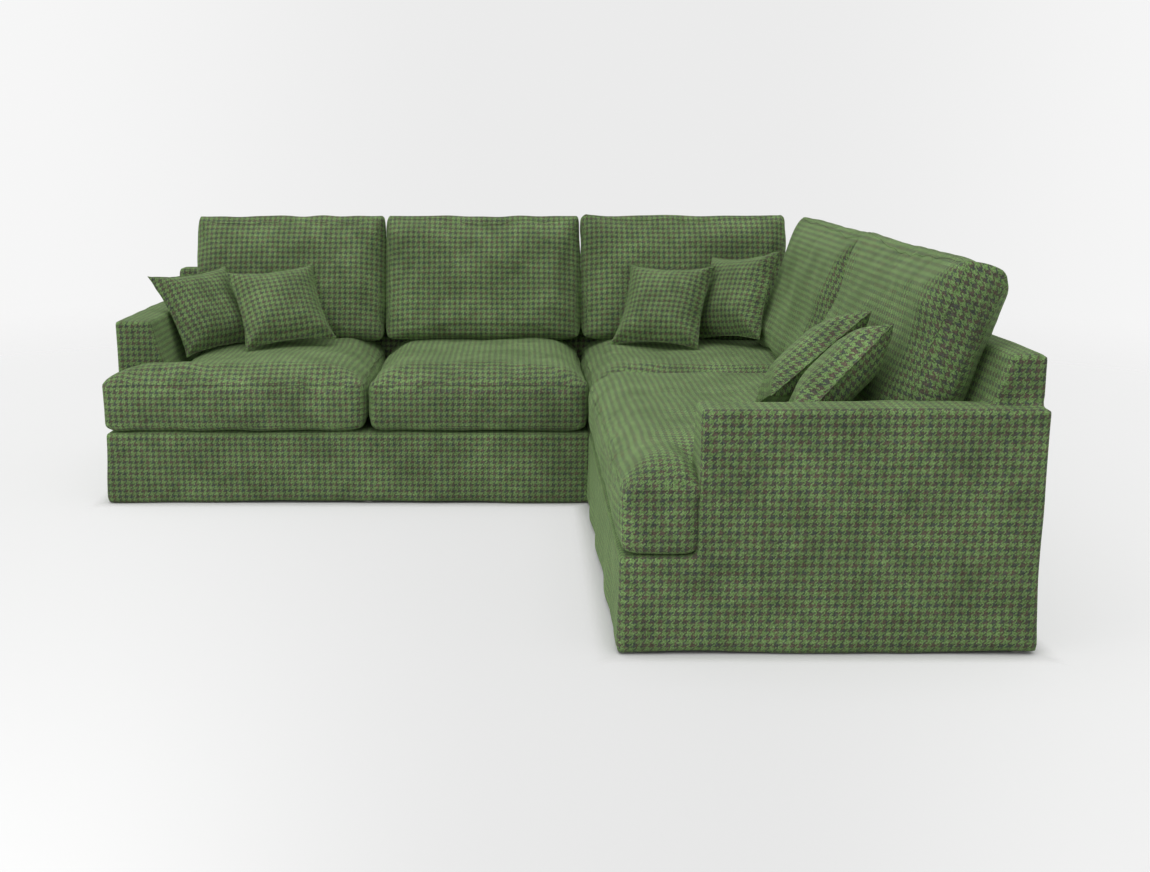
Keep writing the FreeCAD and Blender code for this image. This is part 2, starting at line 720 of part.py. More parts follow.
class SeatCushion:
    """A boxed seat cushion. corners_at gives its plan at a level, and reaches how far in from
    each side its flat middle starts. The sides of an ear in front of an arm are named too."""

    def __init__(self, corners_at, reaches, ear_sides=()):
        self.corners_at = corners_at
        self.reaches = reaches
        self.ear_sides = ear_sides
        self.seam = corners_at(size("seat_edge_height"))

    def form(self, skin):
        round_edge = size("seat_round")
        bottom = size("deck_height") + size("rest_gap") + skin
        radius = size("seat_corner")
        count = len(self.reaches)
        wires = []
        for step in range(LOWER_EDGE_STEPS + 1):
            angle = math.pi / 2 * step / LOWER_EDGE_STEPS
            level = bottom + round_edge * (1 - math.cos(angle))
            inset = skin + round_edge * (1 - math.sin(angle))
            wires.append(self.wire(self.corners_at(level), [inset] * count, radius, 0, level))
        edge = size("seat_edge_height")
        rise = size("seat_crown") - skin
        for share, height in CROWN:
            insets = [skin + reach * share for reach in self.reaches]
            draw = size("seat_draw") * (1 - share)
            wires.append(self.wire(self.seam, insets, radius * (1 + share), draw,
                                   edge + rise * height))
        return loft(wires)

    def wire(self, corners, insets, radius, draw, level):
        return ring(shrink(corners, insets), radius, [draw] * len(corners),
                    lambda x, y: Vector(x, y, level))

    def height(self, x, y):
        """Level of the cushion's top at a place in plan, for what lies on its main part."""
        share = 1.0
        for number, (along_x, along_y, _) in enumerate(side_directions(self.seam)):
            corner_x, corner_y = self.seam[number]
            inwards = -along_y * (x - corner_x) + along_x * (y - corner_y)
            if number not in self.ear_sides:
                share = min(share, max(inwards, 0) / self.reaches[number])
        return size("seat_edge_height") + size("seat_crown") * crown_rise(share)


def seat_cushions():
    """The four seat cushions, by name."""
    half = size("side_gap") / 2
    front = size("y_link") - size("seat_front_overhang")
    x_split = size("x_split")
    x_link = size("x_link")
    gap = size("side_gap")
    left_end = size("x_left") - size("ear_overhang_side")
    arm_front = size("left_arm_front") - gap
    return_front = x_link - size("seat_front_overhang")
    return_end = size("y_near") - size("ear_overhang_end")
    return_arm = size("return_arm_front") - gap
    return_far = front - gap

    def left(level):
        arm = LEFT_ARM.inner_at(level) + gap
        back = LEFT_BACK.inner_at(level) - gap
        return [(left_end, front), (x_split - half, front), (x_split - half, back),
                (arm, back), (arm, arm_front), (left_end, arm_front)]

    def middle(level):
        back = LEFT_BACK.inner_at(level) - gap
        return [(x_split + half, front), (x_link - half, front), (x_link - half, back),
                (x_split + half, back)]

    def corner(level):
        back = CORNER_BACK.inner_at(level) - gap
        side = CORNER_SIDE.inner_at(level) - gap
        return [(x_link + half, front), (side, front), (side, back), (x_link + half, back)]

    def returning(level):
        back = RETURN_BACK.inner_at(level) - gap
        arm = RETURN_ARM.inner_at(level) + gap
        return [(return_front, return_end), (return_arm, return_end), (return_arm, arm),
                (back, arm), (back, return_far), (return_front, return_far)]

    reach_front = size("reach_front")
    reach_side = size("reach_side")
    reach_arm = size("reach_arm")
    reach_rear = size("reach_rear")
    return {
        "seat_left": SeatCushion(left, [reach_front, reach_side, reach_rear, reach_arm,
                                        reach_rear, reach_side], ear_sides=(4, 5)),
        "seat_middle": SeatCushion(middle, [reach_front, reach_side, reach_rear, reach_side]),
        "seat_corner": SeatCushion(corner, [reach_front, reach_rear, reach_rear, reach_side]),
        "seat_return": SeatCushion(returning, [reach_side, reach_rear, reach_arm, reach_rear,
                                               reach_rear, reach_front], ear_sides=(0, 1)),
    }


class BackCushion:
    """A back cushion that leans on a raked face, between two places along it.

    Its own axes run along the back, up its raked face and out from it. Its underside and
    top stay level, because it stands on the seat cushions.
    """

    def __init__(self, section, low, high):
        rake = math.radians(size("back_rake"))
        outwards = Vector(0, 1, 0) if section.along == "X" else Vector(1, 0, 0)
        self.low = low
        self.high = high
        self.base = size("seat_top") + size("rest_gap")
        self.along = Vector(1, 0, 0) if section.along == "X" else Vector(0, 1, 0)
        self.up = outwards * math.sin(rake) + Vector(0, 0, math.cos(rake))
        self.out = outwards * -math.cos(rake) + Vector(0, 0, math.sin(rake))
        self.outwards = outwards
        face = section.inner_at(self.base) - size("rest_gap") / math.cos(rake)
        self.origin = outwards * face + Vector(0, 0, self.base)

    def ends(self, depth):
        """How far up the raked face the level underside and top are, at a depth out from it."""
        rake = math.radians(size("back_rake"))
        bottom = -depth * math.tan(rake)
        top = (size("back_cushion_top") - self.base) / math.cos(rake) + bottom
        return bottom, top

    def wire(self, depth, share, skin):
        bottom, top = self.ends(depth)
        corners = [(self.low, bottom), (self.high, bottom), (self.high, top), (self.low, top)]
        reach = size("back_cushion_reach") * share + skin
        heel = size("back_cushion_heel") * share + skin
        draw = size("back_cushion_draw") * (1 - share)
        radius = size("back_cushion_corner") + reach / 2
        return ring(shrink(corners, [heel, reach, reach, reach]), radius,
                    [0, draw, draw, draw], lambda run, rise: self.point(run, rise, depth))

    def point(self, run, rise, depth):
        return self.origin + self.along * run + self.up * rise + self.out * depth

    def form(self, skin):
        thickness = size("back_cushion_thickness")
        crown = size("back_cushion_crown")
        wires = []
        for share, height in reversed(CROWN):
            wires.append(self.wire(crown - (crown - skin) * height, share, skin))
        for share, height in CROWN:
            wires.append(self.wire(thickness - crown + (crown - skin) * height, share, skin))
        return loft(wires)

    def clearance(self, place):
        """How far in front of the cushion's face a place is, square to the back."""
        offset = place - self.origin
        run = offset.dot(self.along)
        rise = offset.dot(self.up)
        crown = size("back_cushion_crown")
        seam = size("back_cushion_thickness") - crown
        bottom, top = self.ends(seam + crown)
        reach = size("back_cushion_reach")
        share = min((run - self.low) / reach, (self.high - run) / reach, (top - rise) / reach,
                    (rise - bottom) / size("back_cushion_heel"), 1)
        if share < 0:
            return math.inf
        return offset.dot(self.out) - seam - crown * crown_rise(share)


def back_cushions():
    """The five back cushions, by name."""
    half = size("back_cushion_gap") / 2
    base = size("seat_top")
    arm = size("side_gap")
    rake = math.radians(size("back_rake"))
    face = CORNER_BACK.inner_at(base) - size("back_cushion_thickness") / math.cos(rake)
    return {
        "back_left": BackCushion(LEFT_BACK, LEFT_ARM.inner_at(base) + arm,
                                 size("x_split") - half),
        "back_middle": BackCushion(LEFT_BACK, size("x_split") + half, size("x_link") - half),
        "back_corner": BackCushion(CORNER_BACK, size("x_link") + half,
                                   CORNER_SIDE.inner_at(base) - size("back_cushion_crown")),
        "back_return_far": BackCushion(CORNER_SIDE, size("y_split") + half, face - half),
        "back_return_near": BackCushion(RETURN_BACK, RETURN_ARM.inner_at(base) + arm,
                                        size("y_split") - half),
    }


SEATS = seat_cushions()
BACKS = back_cushions()
for label, cushion in (SEATS | BACKS).items():
    cloth_and_filling(label, cushion.form)


def scatter_form():
    """A knife-edged scatter cushion round the origin, upright and facing -Y."""
    half = size("scatter_size") / 2
    reach = size("scatter_reach")
    bulge = size("scatter_thickness") / 2
    corners = [(-half, -half), (half, -half), (half, half), (-half, half)]
    wires = []
    for side, order in ((-1, CROWN[::-1]), (1, CROWN[1:])):
        for share, height in order:
            level = side * bulge * height
            draws = [size("scatter_draw") * (1 - share)] * 4
            wires.append(ring(shrink(corners, [reach * share] * 4),
                              size("scatter_corner") + reach * share / 2, draws,
                              lambda across, rise: Vector(across, level, rise)))
    return loft(wires)


# Each scatter cushion: what it lies on and leans on, the line that its middle is measured from
# along that back and how far past it in mm, and its turn, lean and tilt in degrees
SCATTERS = [
    ("scatter_left_outer", "seat_left", "back_left", "x_left", 242, 45, 36, -4),
    ("scatter_left_inner", "seat_left", "back_left", "x_left", 513, 21, 40, -5),
    ("scatter_corner_inner", "seat_corner", "back_corner", "x_right", -435, -55, 24, -8),
    ("scatter_corner_outer", "seat_corner", "back_corner", "x_right", -700, -26, 34, -1),
    ("scatter_return_far", "seat_return", "back_return_near", "y_near", 605, -109, 47, -22),
    ("scatter_return_near", "seat_return", "back_return_near", "y_near", 320, -106, 41, -13),
]
SETTLING_STEPS = 6
SETTLING_MESH = 2


def settled(form, seat, back, along, turn, lean, tilt):
    """Where a scatter cushion comes to rest on a seat cushion and against a back cushion."""
    rotation = (Rotation(Vector(0, 0, 1), turn) * Rotation(Vector(1, 0, 0), -lean)
                * Rotation(Vector(0, 1, 0), tilt))
    points = [rotation.multVec(point) for point in form.tessellate(SETTLING_MESH)[0]]
    middle = back.point(along, 0, size("back_cushion_thickness"))
    gap = size("rest_gap")
    shift = middle
    for _ in range(SETTLING_STEPS):
        placed = [point + shift for point in points]
        shift = shift + Vector(0, 0, max(seat.height(p.x, p.y) - p.z for p in placed) + gap)
        placed = [point + shift for point in points]
        closest = min(back.clearance(p) for p in placed)
        shift = shift + back.outwards * ((closest - gap) / math.cos(math.radians(size("back_rake"))))
    return Placement(shift, rotation)


def scatter_cushions():
    form = scatter_form()
    for label, seat, back, line, past, turn, lean, tilt in SCATTERS:
        cushion = doc.addObject("Part::Feature", label)
        cushion.Shape = form
        cushion.Placement = settled(form, SEATS[seat], BACKS[back], size(line) + past,
                                    turn, lean, tilt)
        keep(label, [cushion])


scatter_cushions()
doc.recompute()

for made in doc.Objects:
    if "Invalid" in made.State or "Error" in made.State:
        raise RuntimeError(f"{made.Name} did not build: {made.State}")
for piece in PIECES:
    if piece.Shape.isNull() or not piece.Shape.isValid():
        raise RuntimeError(f"{piece.Label} has no valid shape")

os.makedirs("parts", exist_ok=True)
for piece in PIECES:
    piece.Shape.exportStep(f"parts/{piece.Label}.step")
    print(f"{piece.Label}: {len(piece.Shape.Solids)} solids, {piece.Shape.Volume / 1e6:.3f} litres")
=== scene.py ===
"""A corner sofa in green houndstooth cloth, dressed over its modelled frame."""

import math

import bmesh
import bpy
import numpy as np
from mathutils import Matrix, Vector
from mathutils.bvhtree import BVHTree


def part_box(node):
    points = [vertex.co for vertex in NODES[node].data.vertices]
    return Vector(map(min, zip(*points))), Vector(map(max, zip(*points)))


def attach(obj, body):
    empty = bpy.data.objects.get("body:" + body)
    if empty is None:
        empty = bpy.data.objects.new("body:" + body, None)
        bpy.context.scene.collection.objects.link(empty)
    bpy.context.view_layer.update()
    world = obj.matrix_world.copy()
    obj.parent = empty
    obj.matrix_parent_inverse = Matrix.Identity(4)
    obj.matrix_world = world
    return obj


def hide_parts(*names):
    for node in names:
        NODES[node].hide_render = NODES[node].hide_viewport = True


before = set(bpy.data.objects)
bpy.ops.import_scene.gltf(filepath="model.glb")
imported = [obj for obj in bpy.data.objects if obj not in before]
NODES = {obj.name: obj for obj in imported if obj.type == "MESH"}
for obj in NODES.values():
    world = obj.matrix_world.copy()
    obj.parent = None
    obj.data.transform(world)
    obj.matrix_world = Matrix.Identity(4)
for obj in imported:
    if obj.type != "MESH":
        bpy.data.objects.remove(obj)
SCENE = bpy.context.scene
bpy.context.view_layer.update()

SEATS = ("seat_left", "seat_middle", "seat_corner", "seat_return")
BACKS = ("back_left", "back_middle", "back_corner", "back_return_far", "back_return_near")
SCATTERS = {
    # turn, lean and tilt in degrees
    "scatter_left_outer": (45, 36, -4),
    "scatter_left_inner": (21, 40, -5),
    "scatter_corner_inner": (-55, 24, -8),
    "scatter_corner_outer": (-26, 34, -1),
    "scatter_return_far": (-109, 47, -22),
    "scatter_return_near": (-106, 41, -13),
}
ARMS_AND_BACKS = ("left_arm", "return_arm", "left_back", "return_back", "corner_back")

HEM_LEVEL = 0.009
LOWEST_HEM = 0.004
SEAT_SEAM_LEVEL = 0.412
SEAT_CROWN = 0.060
BACK_RAKE = math.radians(18.6)
BACK_CROWN = 0.045
BACK_THICKNESS = 0.200
BACK_REACH = 0.120
SCATTER_SIDE = 0.345
SCATTER_THICKNESS = 0.130
SCATTER_DRAW = 0.020
SCATTER_REACH = 0.140
CROWN_POWER = 2.4

# Vertices nearer than WELD are one, and TINY keeps a division from failing
WELD = 1e-5
TINY = 1e-9


# Shader maths

class Value:
    """One output of a shader node, which Python's own operators build on."""

    def __init__(self, finish, socket):
        self.finish = finish
        self.socket = socket

    def maths(self, operation, *others):
        return self.finish.add("ShaderNodeMath", {"operation": operation}, self, *others)

    def __add__(self, other):
        return self.maths("ADD", other)

    __radd__ = __add__

    def __sub__(self, other):
        return self.maths("SUBTRACT", other)

    def __rsub__(self, other):
        return self.finish.add("ShaderNodeMath", {"operation": "SUBTRACT"}, other, self)

    def __mul__(self, other):
        return self.maths("MULTIPLY", other)

    __rmul__ = __mul__

    def __truediv__(self, other):
        return self.maths("DIVIDE", other)

    def __mod__(self, other):
        return self.maths("FLOORED_MODULO", other)

    def __lt__(self, other):
        return self.maths("LESS_THAN", other)

    def floor(self):
        return self.maths("FLOOR")

    def sine(self):
        return self.maths("SINE")

    def part(self, name):
        """Another output of the same node."""
        return Value(self.finish, self.socket.node.outputs[name])


class Finish:
    """The shader nodes of a material or a world, with one way of adding any node to them."""

    def __init__(self, owner):
        self.owner = owner
        owner.use_nodes = True
        self.tree = owner.node_tree
        self.tree.nodes.clear()

    def add(self, kind, settings=None, *values, **named):
        """A node with its settings made first, then the values or links of its sockets."""
        node = self.tree.nodes.new(kind)
        for key, setting in (settings or {}).items():
            setattr(node, key, setting)
        for place, value in [*enumerate(values), *named.items()]:
            self.feed(node.inputs[self.socket_number(node, place)], value)
        return Value(self, next((out for out in node.outputs if out.enabled), None))

    def socket_number(self, node, place):
        """An input's number, from that number itself or from the input's name."""
        if isinstance(place, int):
            return place
        numbers = {socket.name.lower(): number for number, socket in enumerate(node.inputs)
                   if socket.enabled}
        return numbers[place.replace("_", " ")]

    def feed(self, socket, value):
        if isinstance(value, Value):
            self.tree.links.new(value.socket, socket)
        elif isinstance(value, tuple) and len(value) == 3 and socket.type == "RGBA":
            socket.default_value = (*value, 1)
        else:
            socket.default_value = value

    def blend(self, factor, first, second):
        """A colour between two colours."""
        return self.add("ShaderNodeMix", {"data_type": "RGBA"}, factor=factor, a=first, b=second)

    def noise(self, scale, detail=2.0, place=None):
        """Noise from 0 to 1 over Object coordinates."""
        place = place or self.add("ShaderNodeTexCoord").part("Object")
        return self.add("ShaderNodeTexNoise", None, vector=place, scale=scale, detail=detail)

    def mapped(self, value, before, after, **settings):
        """A value moved from one range to another, and held inside it."""
        return self.add("ShaderNodeMapRange", settings, value, *before, *after)

    def surface(self, colour, roughness, height=None, depth=0.001, metallic=0.0, sheen=0.0,
                sheen_tint=(1, 1, 1), sheen_roughness=0.5, specular=0.5):
        """Ends the tree in one soft or hard surface, with relief where a height is given."""
        values = {"base_color": colour, "roughness": roughness, "metallic": metallic,
                  "sheen_weight": sheen, "sheen_tint": sheen_tint,
                  "sheen_roughness": sheen_roughness, "specular_ior_level": specular}
        if height is not None:
            values["normal"] = self.add("ShaderNodeBump", None, distance=depth, height=height)
        shader = self.add("ShaderNodeBsdfPrincipled", None, **values)
        self.add("ShaderNodeOutputMaterial", None, surface=shader)
        return self.owner


YARN = 0.0025
YARNS_IN_BAND = 4
TWILL_REPEAT = 4
WANDER_ACROSS = 0.004
WANDER_ALONG = 0.003
FRAY = 0.0026
GREEN_YARN = (0.150, 0.275, 0.085)
PALE_GREEN_YARN = (0.235, 0.360, 0.140)
SLATE_YARN = (0.072, 0.078, 0.076)
BROWN_YARN = (0.128, 0.086, 0.074)
DARK_YARN_COVER = 0.92
STREAKS = 60
# Brightness range of the painted sheen on patches of crushed pile
CRUSHED_PILE_SHEEN_TONES = (0.80, 1.24)
FUZZ_TONES = (0.62, 1.38)
GRAIN_TONES = (0.72, 1.28)
CLOTH_RELIEF = 0.0009


def houndstooth_cloth():
    """Broken checks of four dark and four green yarns in a two-and-two twill."""
    finish = Finish(bpy.data.materials.new("houndstooth_cloth"))
    flat = finish.add("ShaderNodeUVMap", {"uv_map": "cloth"})
    across = finish.add("ShaderNodeSeparateXYZ", None, flat)
    drift = finish.noise(9.0, 1.0)
    fuzz = finish.noise(620.0, 2.0)
    u = across + (drift - 0.5) * WANDER_ACROSS + (fuzz - 0.5) * FRAY
    v = across.part("Y") + (drift - 0.5) * WANDER_ALONG - (fuzz - 0.5) * FRAY
    warp = (u / YARN).floor()
    weft = (v / YARN).floor()
    band = 2 * YARNS_IN_BAND
    warp_dark = warp % band < YARNS_IN_BAND
    weft_dark = weft % band < YARNS_IN_BAND
    warp_on_top = (warp - weft) % TWILL_REPEAT < TWILL_REPEAT / 2
    dark = warp_on_top * warp_dark + (1 - warp_on_top) * weft_dark

    stitch = finish.add("ShaderNodeCombineXYZ", None, warp, weft, 0.0)
    fleck = finish.add("ShaderNodeTexWhiteNoise", {"noise_dimensions": "2D"}, vector=stitch)
    lengthways = finish.add("ShaderNodeCombineXYZ", None, u * STREAKS, v * STREAKS, 0.0)
    streak = finish.add("ShaderNodeTexNoise", None, vector=lengthways, scale=1.0, detail=3.0)
    tint = finish.mapped(streak, (0.40, 0.60), (0.0, 1.0))
    green = finish.blend(fleck, GREEN_YARN, PALE_GREEN_YARN)
    shade = finish.blend(tint, SLATE_YARN, BROWN_YARN)
    colour = finish.blend(dark * DARK_YARN_COVER, green, shade)

    # Patches where the pile lies crushed; the sheen they catch is painted in as lighter and darker
    # colour
    crushed_pile_and_sheen = finish.noise(7.0, 3.0) * 0.6 + finish.noise(19.0, 2.0) * 0.4
    painted_pile_sheen = finish.mapped(crushed_pile_and_sheen, (0.38, 0.66), CRUSHED_PILE_SHEEN_TONES)
    speckle = finish.mapped(fuzz, (0.3, 0.7), FUZZ_TONES)
    grain = finish.mapped(finish.noise(230.0, 1.0), (0.3, 0.7), GRAIN_TONES)
    colour = finish.add("ShaderNodeVectorMath", {"operation": "SCALE"}, colour,
                        scale=painted_pile_sheen * speckle * grain)
    ridge = (u * (math.pi / YARN)).sine() * (v * (math.pi / YARN)).sine()
    height = ridge * 0.25 + fuzz * 0.5 - dark * 0.15
    return finish.surface(colour, 0.86, height, CLOTH_RELIEF, sheen=0.35,
                          sheen_tint=(0.62, 0.95, 0.40), sheen_roughness=0.45, specular=0.2)


def plain_weave(name, first, second, yarn):
    """A plain woven tape or lining."""
    finish = Finish(bpy.data.materials.new(name))
    place = finish.add("ShaderNodeTexCoord").part("Object")
    parts = finish.add("ShaderNodeSeparateXYZ", None, place)
    x = (parts * (math.pi / yarn)).sine()
    y = (parts.part("Y") * (math.pi / yarn)).sine()
    weave = x * y * 0.5 + 0.5
    dust = finish.noise(30.0, 3.0)
    return finish.surface(finish.blend(weave * 0.6 + dust * 0.4, first, second), 0.9, weave,
                          yarn * 0.3, sheen=0.2, specular=0.2)


def sawn_wood(name, pale, dark, roughness):
    """Growth rings cut lengthways, with a little saw roughness."""
    finish = Finish(bpy.data.materials.new(name))
    place = finish.add("ShaderNodeTexCoord").part("Object")
    stretched = finish.add("ShaderNodeMapping", None, place, scale=(7.0, 7.0, 1.6))
    rings = finish.add("ShaderNodeTexWave", {"wave_type": "BANDS"}, vector=stretched, scale=3.0,
                       distortion=7.0, detail=3.0)
    grain = finish.noise(120.0, 3.0, stretched)
    tone = rings * 0.7 + grain * 0.3
    return finish.surface(finish.blend(tone, pale, dark), roughness, grain, 0.0006)


def zinc_plate():
    finish = Finish(bpy.data.materials.new("zinc_plate"))
    blotches = finish.noise(90.0, 3.0)
    return finish.surface(finish.blend(blotches, (0.52, 0.53, 0.50), (0.66, 0.66, 0.62)),
                          0.3 + blotches * 0.2, blotches, 0.0002, metallic=1.0)


def moulded_nylon():
    finish = Finish(bpy.data.materials.new("moulded_nylon"))
    scuffs = finish.noise(160.0, 4.0)
    return finish.surface(finish.blend(scuffs, (0.75, 0.74, 0.70), (0.60, 0.58, 0.53)),
                          0.45 + scuffs * 0.25, scuffs, 0.0002)


CLOTH = houndstooth_cloth()
LINING = plain_weave("black_lining", (0.012, 0.012, 0.012), (0.030, 0.029, 0.027), 0.0022)
WEBBING = plain_weave("elastic_webbing", (0.36, 0.31, 0.23), (0.16, 0.12, 0.08), 0.0030)
SOFTWOOD = sawn_wood("softwood", (0.56, 0.38, 0.20), (0.36, 0.21, 0.10), 0.7)
STAINED_WOOD = sawn_wood("stained_wood", (0.030, 0.018, 0.011), (0.012, 0.007, 0.005), 0.42)
ZINC = zinc_plate()
NYLON = moulded_nylon()


# Mesh work

def coordinates(mesh):
    places = np.empty(len(mesh.vertices) * 3)
    mesh.vertices.foreach_get("co", places)
    return places.reshape(-1, 3)


def set_coordinates(mesh, places):
    mesh.vertices.foreach_set("co", np.ascontiguousarray(places, dtype=np.float32).ravel())
    mesh.update()


def normals(mesh):
    directions = np.empty(len(mesh.vertices) * 3)
    mesh.vertices.foreach_get("normal", directions)
    return directions.reshape(-1, 3)


def piece_from(mesh, name):
    """A named object at the origin that holds a mesh."""
    mesh.name = name
    made = bpy.data.objects.new(name, mesh)
    SCENE.collection.objects.link(made)
    return made


def finished(piece):
    """The piece with its modifiers worked into its mesh."""
    depsgraph = bpy.context.evaluated_depsgraph_get()
    mesh = bpy.data.meshes.new_from_object(piece.evaluated_get(depsgraph))
    piece.modifiers.clear()
    piece.data = mesh
    mesh.name = piece.name
    return piece


BACK_DEPTH = 0.2385
ROUNDING_ROOM = 0.001
FLAT_ANGLE = math.radians(1)


def blocks(node):
    """The convex blocks that a cover goes round: one, or two where the back turns the corner."""
    points = coordinates(NODES[node].data)
    if node != "corner_back_cover":
        return [points]
    inner = points.max(axis=0) - BACK_DEPTH - ROUNDING_ROOM
    return [points[points[:, axis] > inner[axis]] for axis in (0, 1)]


def convex(points):
    """A closed mesh round a cloud of points."""
    work = bmesh.new()
    for point in points:
        work.verts.new(point)
    shape = bmesh.ops.convex_hull(work, input=work.verts)
    spare = {item for item in shape["geom_interior"] + shape["geom_unused"]
             if isinstance(item, bmesh.types.BMVert)}
    bmesh.ops.delete(work, geom=list(spare), context="VERTS")
    bmesh.ops.dissolve_limit(work, angle_limit=FLAT_ANGLE, verts=work.verts, edges=work.edges)
    bmesh.ops.recalc_face_normals(work, faces=work.faces)
    return work


def remeshed(piece, voxel, smoothing):
    """The piece as an even net of squares, with its edges eased."""
    net = piece.modifiers.new("net", "REMESH")
    net.mode = "VOXEL"
    net.voxel_size = voxel
    net.use_smooth_shade = True
    ease = piece.modifiers.new("ease", "SMOOTH")
    ease.factor = 0.5
    ease.iterations = smoothing
    return finished(piece)


WAVE_COUNT = 9


def ripples(places, seed, waves):
    """Seeded waves at each place, for cloth that is never quite flat.

    waves holds their usual length and the height that most of them stay under.
    """
    usual_length, height = waves
    random = np.random.default_rng(seed)
    direction = random.normal(size=(WAVE_COUNT, 3))
    direction /= np.linalg.norm(direction, axis=1)[:, None]
    length = usual_length * random.uniform(0.7, 1.5, WAVE_COUNT)
    field = direction * (2 * math.pi / length)[:, None]
    phases = random.uniform(0, 2 * math.pi, WAVE_COUNT)
    strength = 1 / math.sqrt(WAVE_COUNT / 2)
    return np.sin(places @ field.T + phases).sum(axis=1) * strength * height


def smooth_step(values, low, high):
    share = np.clip((values - low) / (high - low), 0, 1)
    return share * share * (3 - 2 * share)


# The pattern's place on the cloth

TOP_FAVOUR = 1.15
LEAST_FACING = 0.42


def extra_run(reach, crown):
    """How much longer the cloth is than its plan, from a seam in to any distance."""
    steps = np.linspace(0, 1, 200)
    rise = crown * (1 - (1 - steps) ** CROWN_POWER)
    run = steps * reach
    length = np.concatenate([[0], np.cumsum(np.hypot(np.diff(run), np.diff(rise)))])
    extra = length - run

    def at(distance):
        return extra[-1] - np.interp(np.clip(distance, 0, reach), run, extra)

    return at


def write_pattern(mesh, panels):
    """Stores the flat place of every face's corners. panels gives it for a choice of panel."""
    layer = mesh.uv_layers.get("cloth") or mesh.uv_layers.new(name="cloth")
    count = len(mesh.loops)
    vertex_of = np.empty(count, dtype=np.int32)
    mesh.loops.foreach_get("vertex_index", vertex_of)
    face_normals = np.empty(len(mesh.polygons) * 3)
    mesh.polygons.foreach_get("normal", face_normals)
    face_normals = face_normals.reshape(-1, 3)
    sizes = np.empty(len(mesh.polygons), dtype=np.int32)
    mesh.polygons.foreach_get("loop_total", sizes)
    choice, maps = panels(coordinates(mesh), face_normals)
    per_loop = np.repeat(choice, sizes)
    flat = np.empty((count, 2))
    for number, places in enumerate(maps):
        chosen = per_loop == number
        flat[chosen] = places[vertex_of[chosen]]
    layer.data.foreach_set("uv", flat.astype(np.float32).ravel())


def box_panels(places, directions):
    """Panels that face along X, Y and Z, for cloth on flat sides."""
    choice = np.argmax(np.abs(directions) * [1, 1, TOP_FAVOUR], axis=1)
    x, y, z = places.T
    return choice, [np.stack([y, z], 1), np.stack([x, z], 1), np.stack([x, y], 1)]


class CushionAxes:
    """A cushion's own directions: along its width, up its height and out of its crowned face."""

    def __init__(self, origin, along, up, out):
        self.origin = np.array(origin, dtype=float)
        self.matrix = np.array([along, up, out], dtype=float)

    def inside(self, places):
        return (places - self.origin) @ self.matrix.T

    def direction(self, vectors):
        return vectors @ self.matrix.T

    def outside(self, places):
        return places @ self.matrix + self.origin


def cushion_panels(axes, sides, crown, least_facing=LEAST_FACING):
    """Panels of a boxed cushion: its crowned faces, and a border that follows their edges.

    sides holds (low along, high along, low up, high up), each as (place, reach).
    """
    (west, west_reach), (east, east_reach), (south, south_reach), (north, north_reach) = sides

    def panels(places, directions):
        run, rise, out = axes.inside(places).T
        turned = np.abs(axes.direction(directions))
        crowned = turned[:, 2] > least_facing
        sideways = turned[:, 0] > turned[:, 1]
        choice = np.where(crowned, 0, np.where(sideways, 1, 2))
        u = (run - extra_run(west_reach, crown)(run - west)
             + extra_run(east_reach, crown)(east - run))
        v = (rise - extra_run(south_reach, crown)(rise - south)
             + extra_run(north_reach, crown)(north - rise))
        return choice, [np.stack([u, v], 1), np.stack([out, rise], 1), np.stack([run, out], 1)]

    return panels


# Seams, swept along their lines by one node tree

COVER_SEAM = 0.0016
CUSHION_SEAM = 0.0018
SEAM_STEP = 0.014
SEAM_SIDES = 6
SEAM_EASING = 2
FEWEST_LOOP_POINTS = 12
FEWEST_LINE_POINTS = 3


def seam_tree():
    """Sweeps a round cord of cloth along the edges of a mesh."""
    tree = bpy.data.node_groups.new("seam_cord", "GeometryNodeTree")
    face = tree.interface
    face.new_socket("Geometry", in_out="INPUT", socket_type="NodeSocketGeometry")
    radius = face.new_socket("Radius", in_out="INPUT", socket_type="NodeSocketFloat")
    radius.default_value = CUSHION_SEAM
    spacing = face.new_socket("Spacing", in_out="INPUT", socket_type="NodeSocketFloat")
    spacing.default_value = SEAM_STEP
    face.new_socket("Geometry", in_out="OUTPUT", socket_type="NodeSocketGeometry")
    kinds = {"given": "NodeGroupInput", "line": "GeometryNodeMeshToCurve",
             "evened": "GeometryNodeResampleCurve", "circle": "GeometryNodeCurvePrimitiveCircle",
             "cord": "GeometryNodeCurveToMesh", "whole": "GeometryNodeRealizeInstances",
             "dressed": "GeometryNodeSetMaterial", "result": "NodeGroupOutput"}
    nodes = {name: tree.nodes.new(kind) for name, kind in kinds.items()}
    nodes["circle"].inputs["Resolution"].default_value = SEAM_SIDES
    nodes["evened"].mode = "LENGTH"
    nodes["cord"].inputs["Fill Caps"].default_value = True
    nodes["dressed"].inputs["Material"].default_value = CLOTH
    links = (
        ("given", "Geometry", "line", "Mesh"),
        ("line", "Curve", "evened", "Curve"),
        ("given", "Spacing", "evened", "Length"),
        ("given", "Radius", "circle", "Radius"),
        ("evened", "Curve", "cord", "Curve"),
        ("circle", "Curve", "cord", "Profile Curve"),
        ("cord", "Mesh", "whole", "Geometry"),
        ("whole", "Geometry", "dressed", "Geometry"),
        ("dressed", "Geometry", "result", "Geometry"),
    )
    for source, output, target, taken in links:
        tree.links.new(nodes[source].outputs[output], nodes[target].inputs[taken])
    return tree, radius.identifier, spacing.identifier


SEAM_TREE, SEAM_RADIUS, SEAM_SPACING = seam_tree()


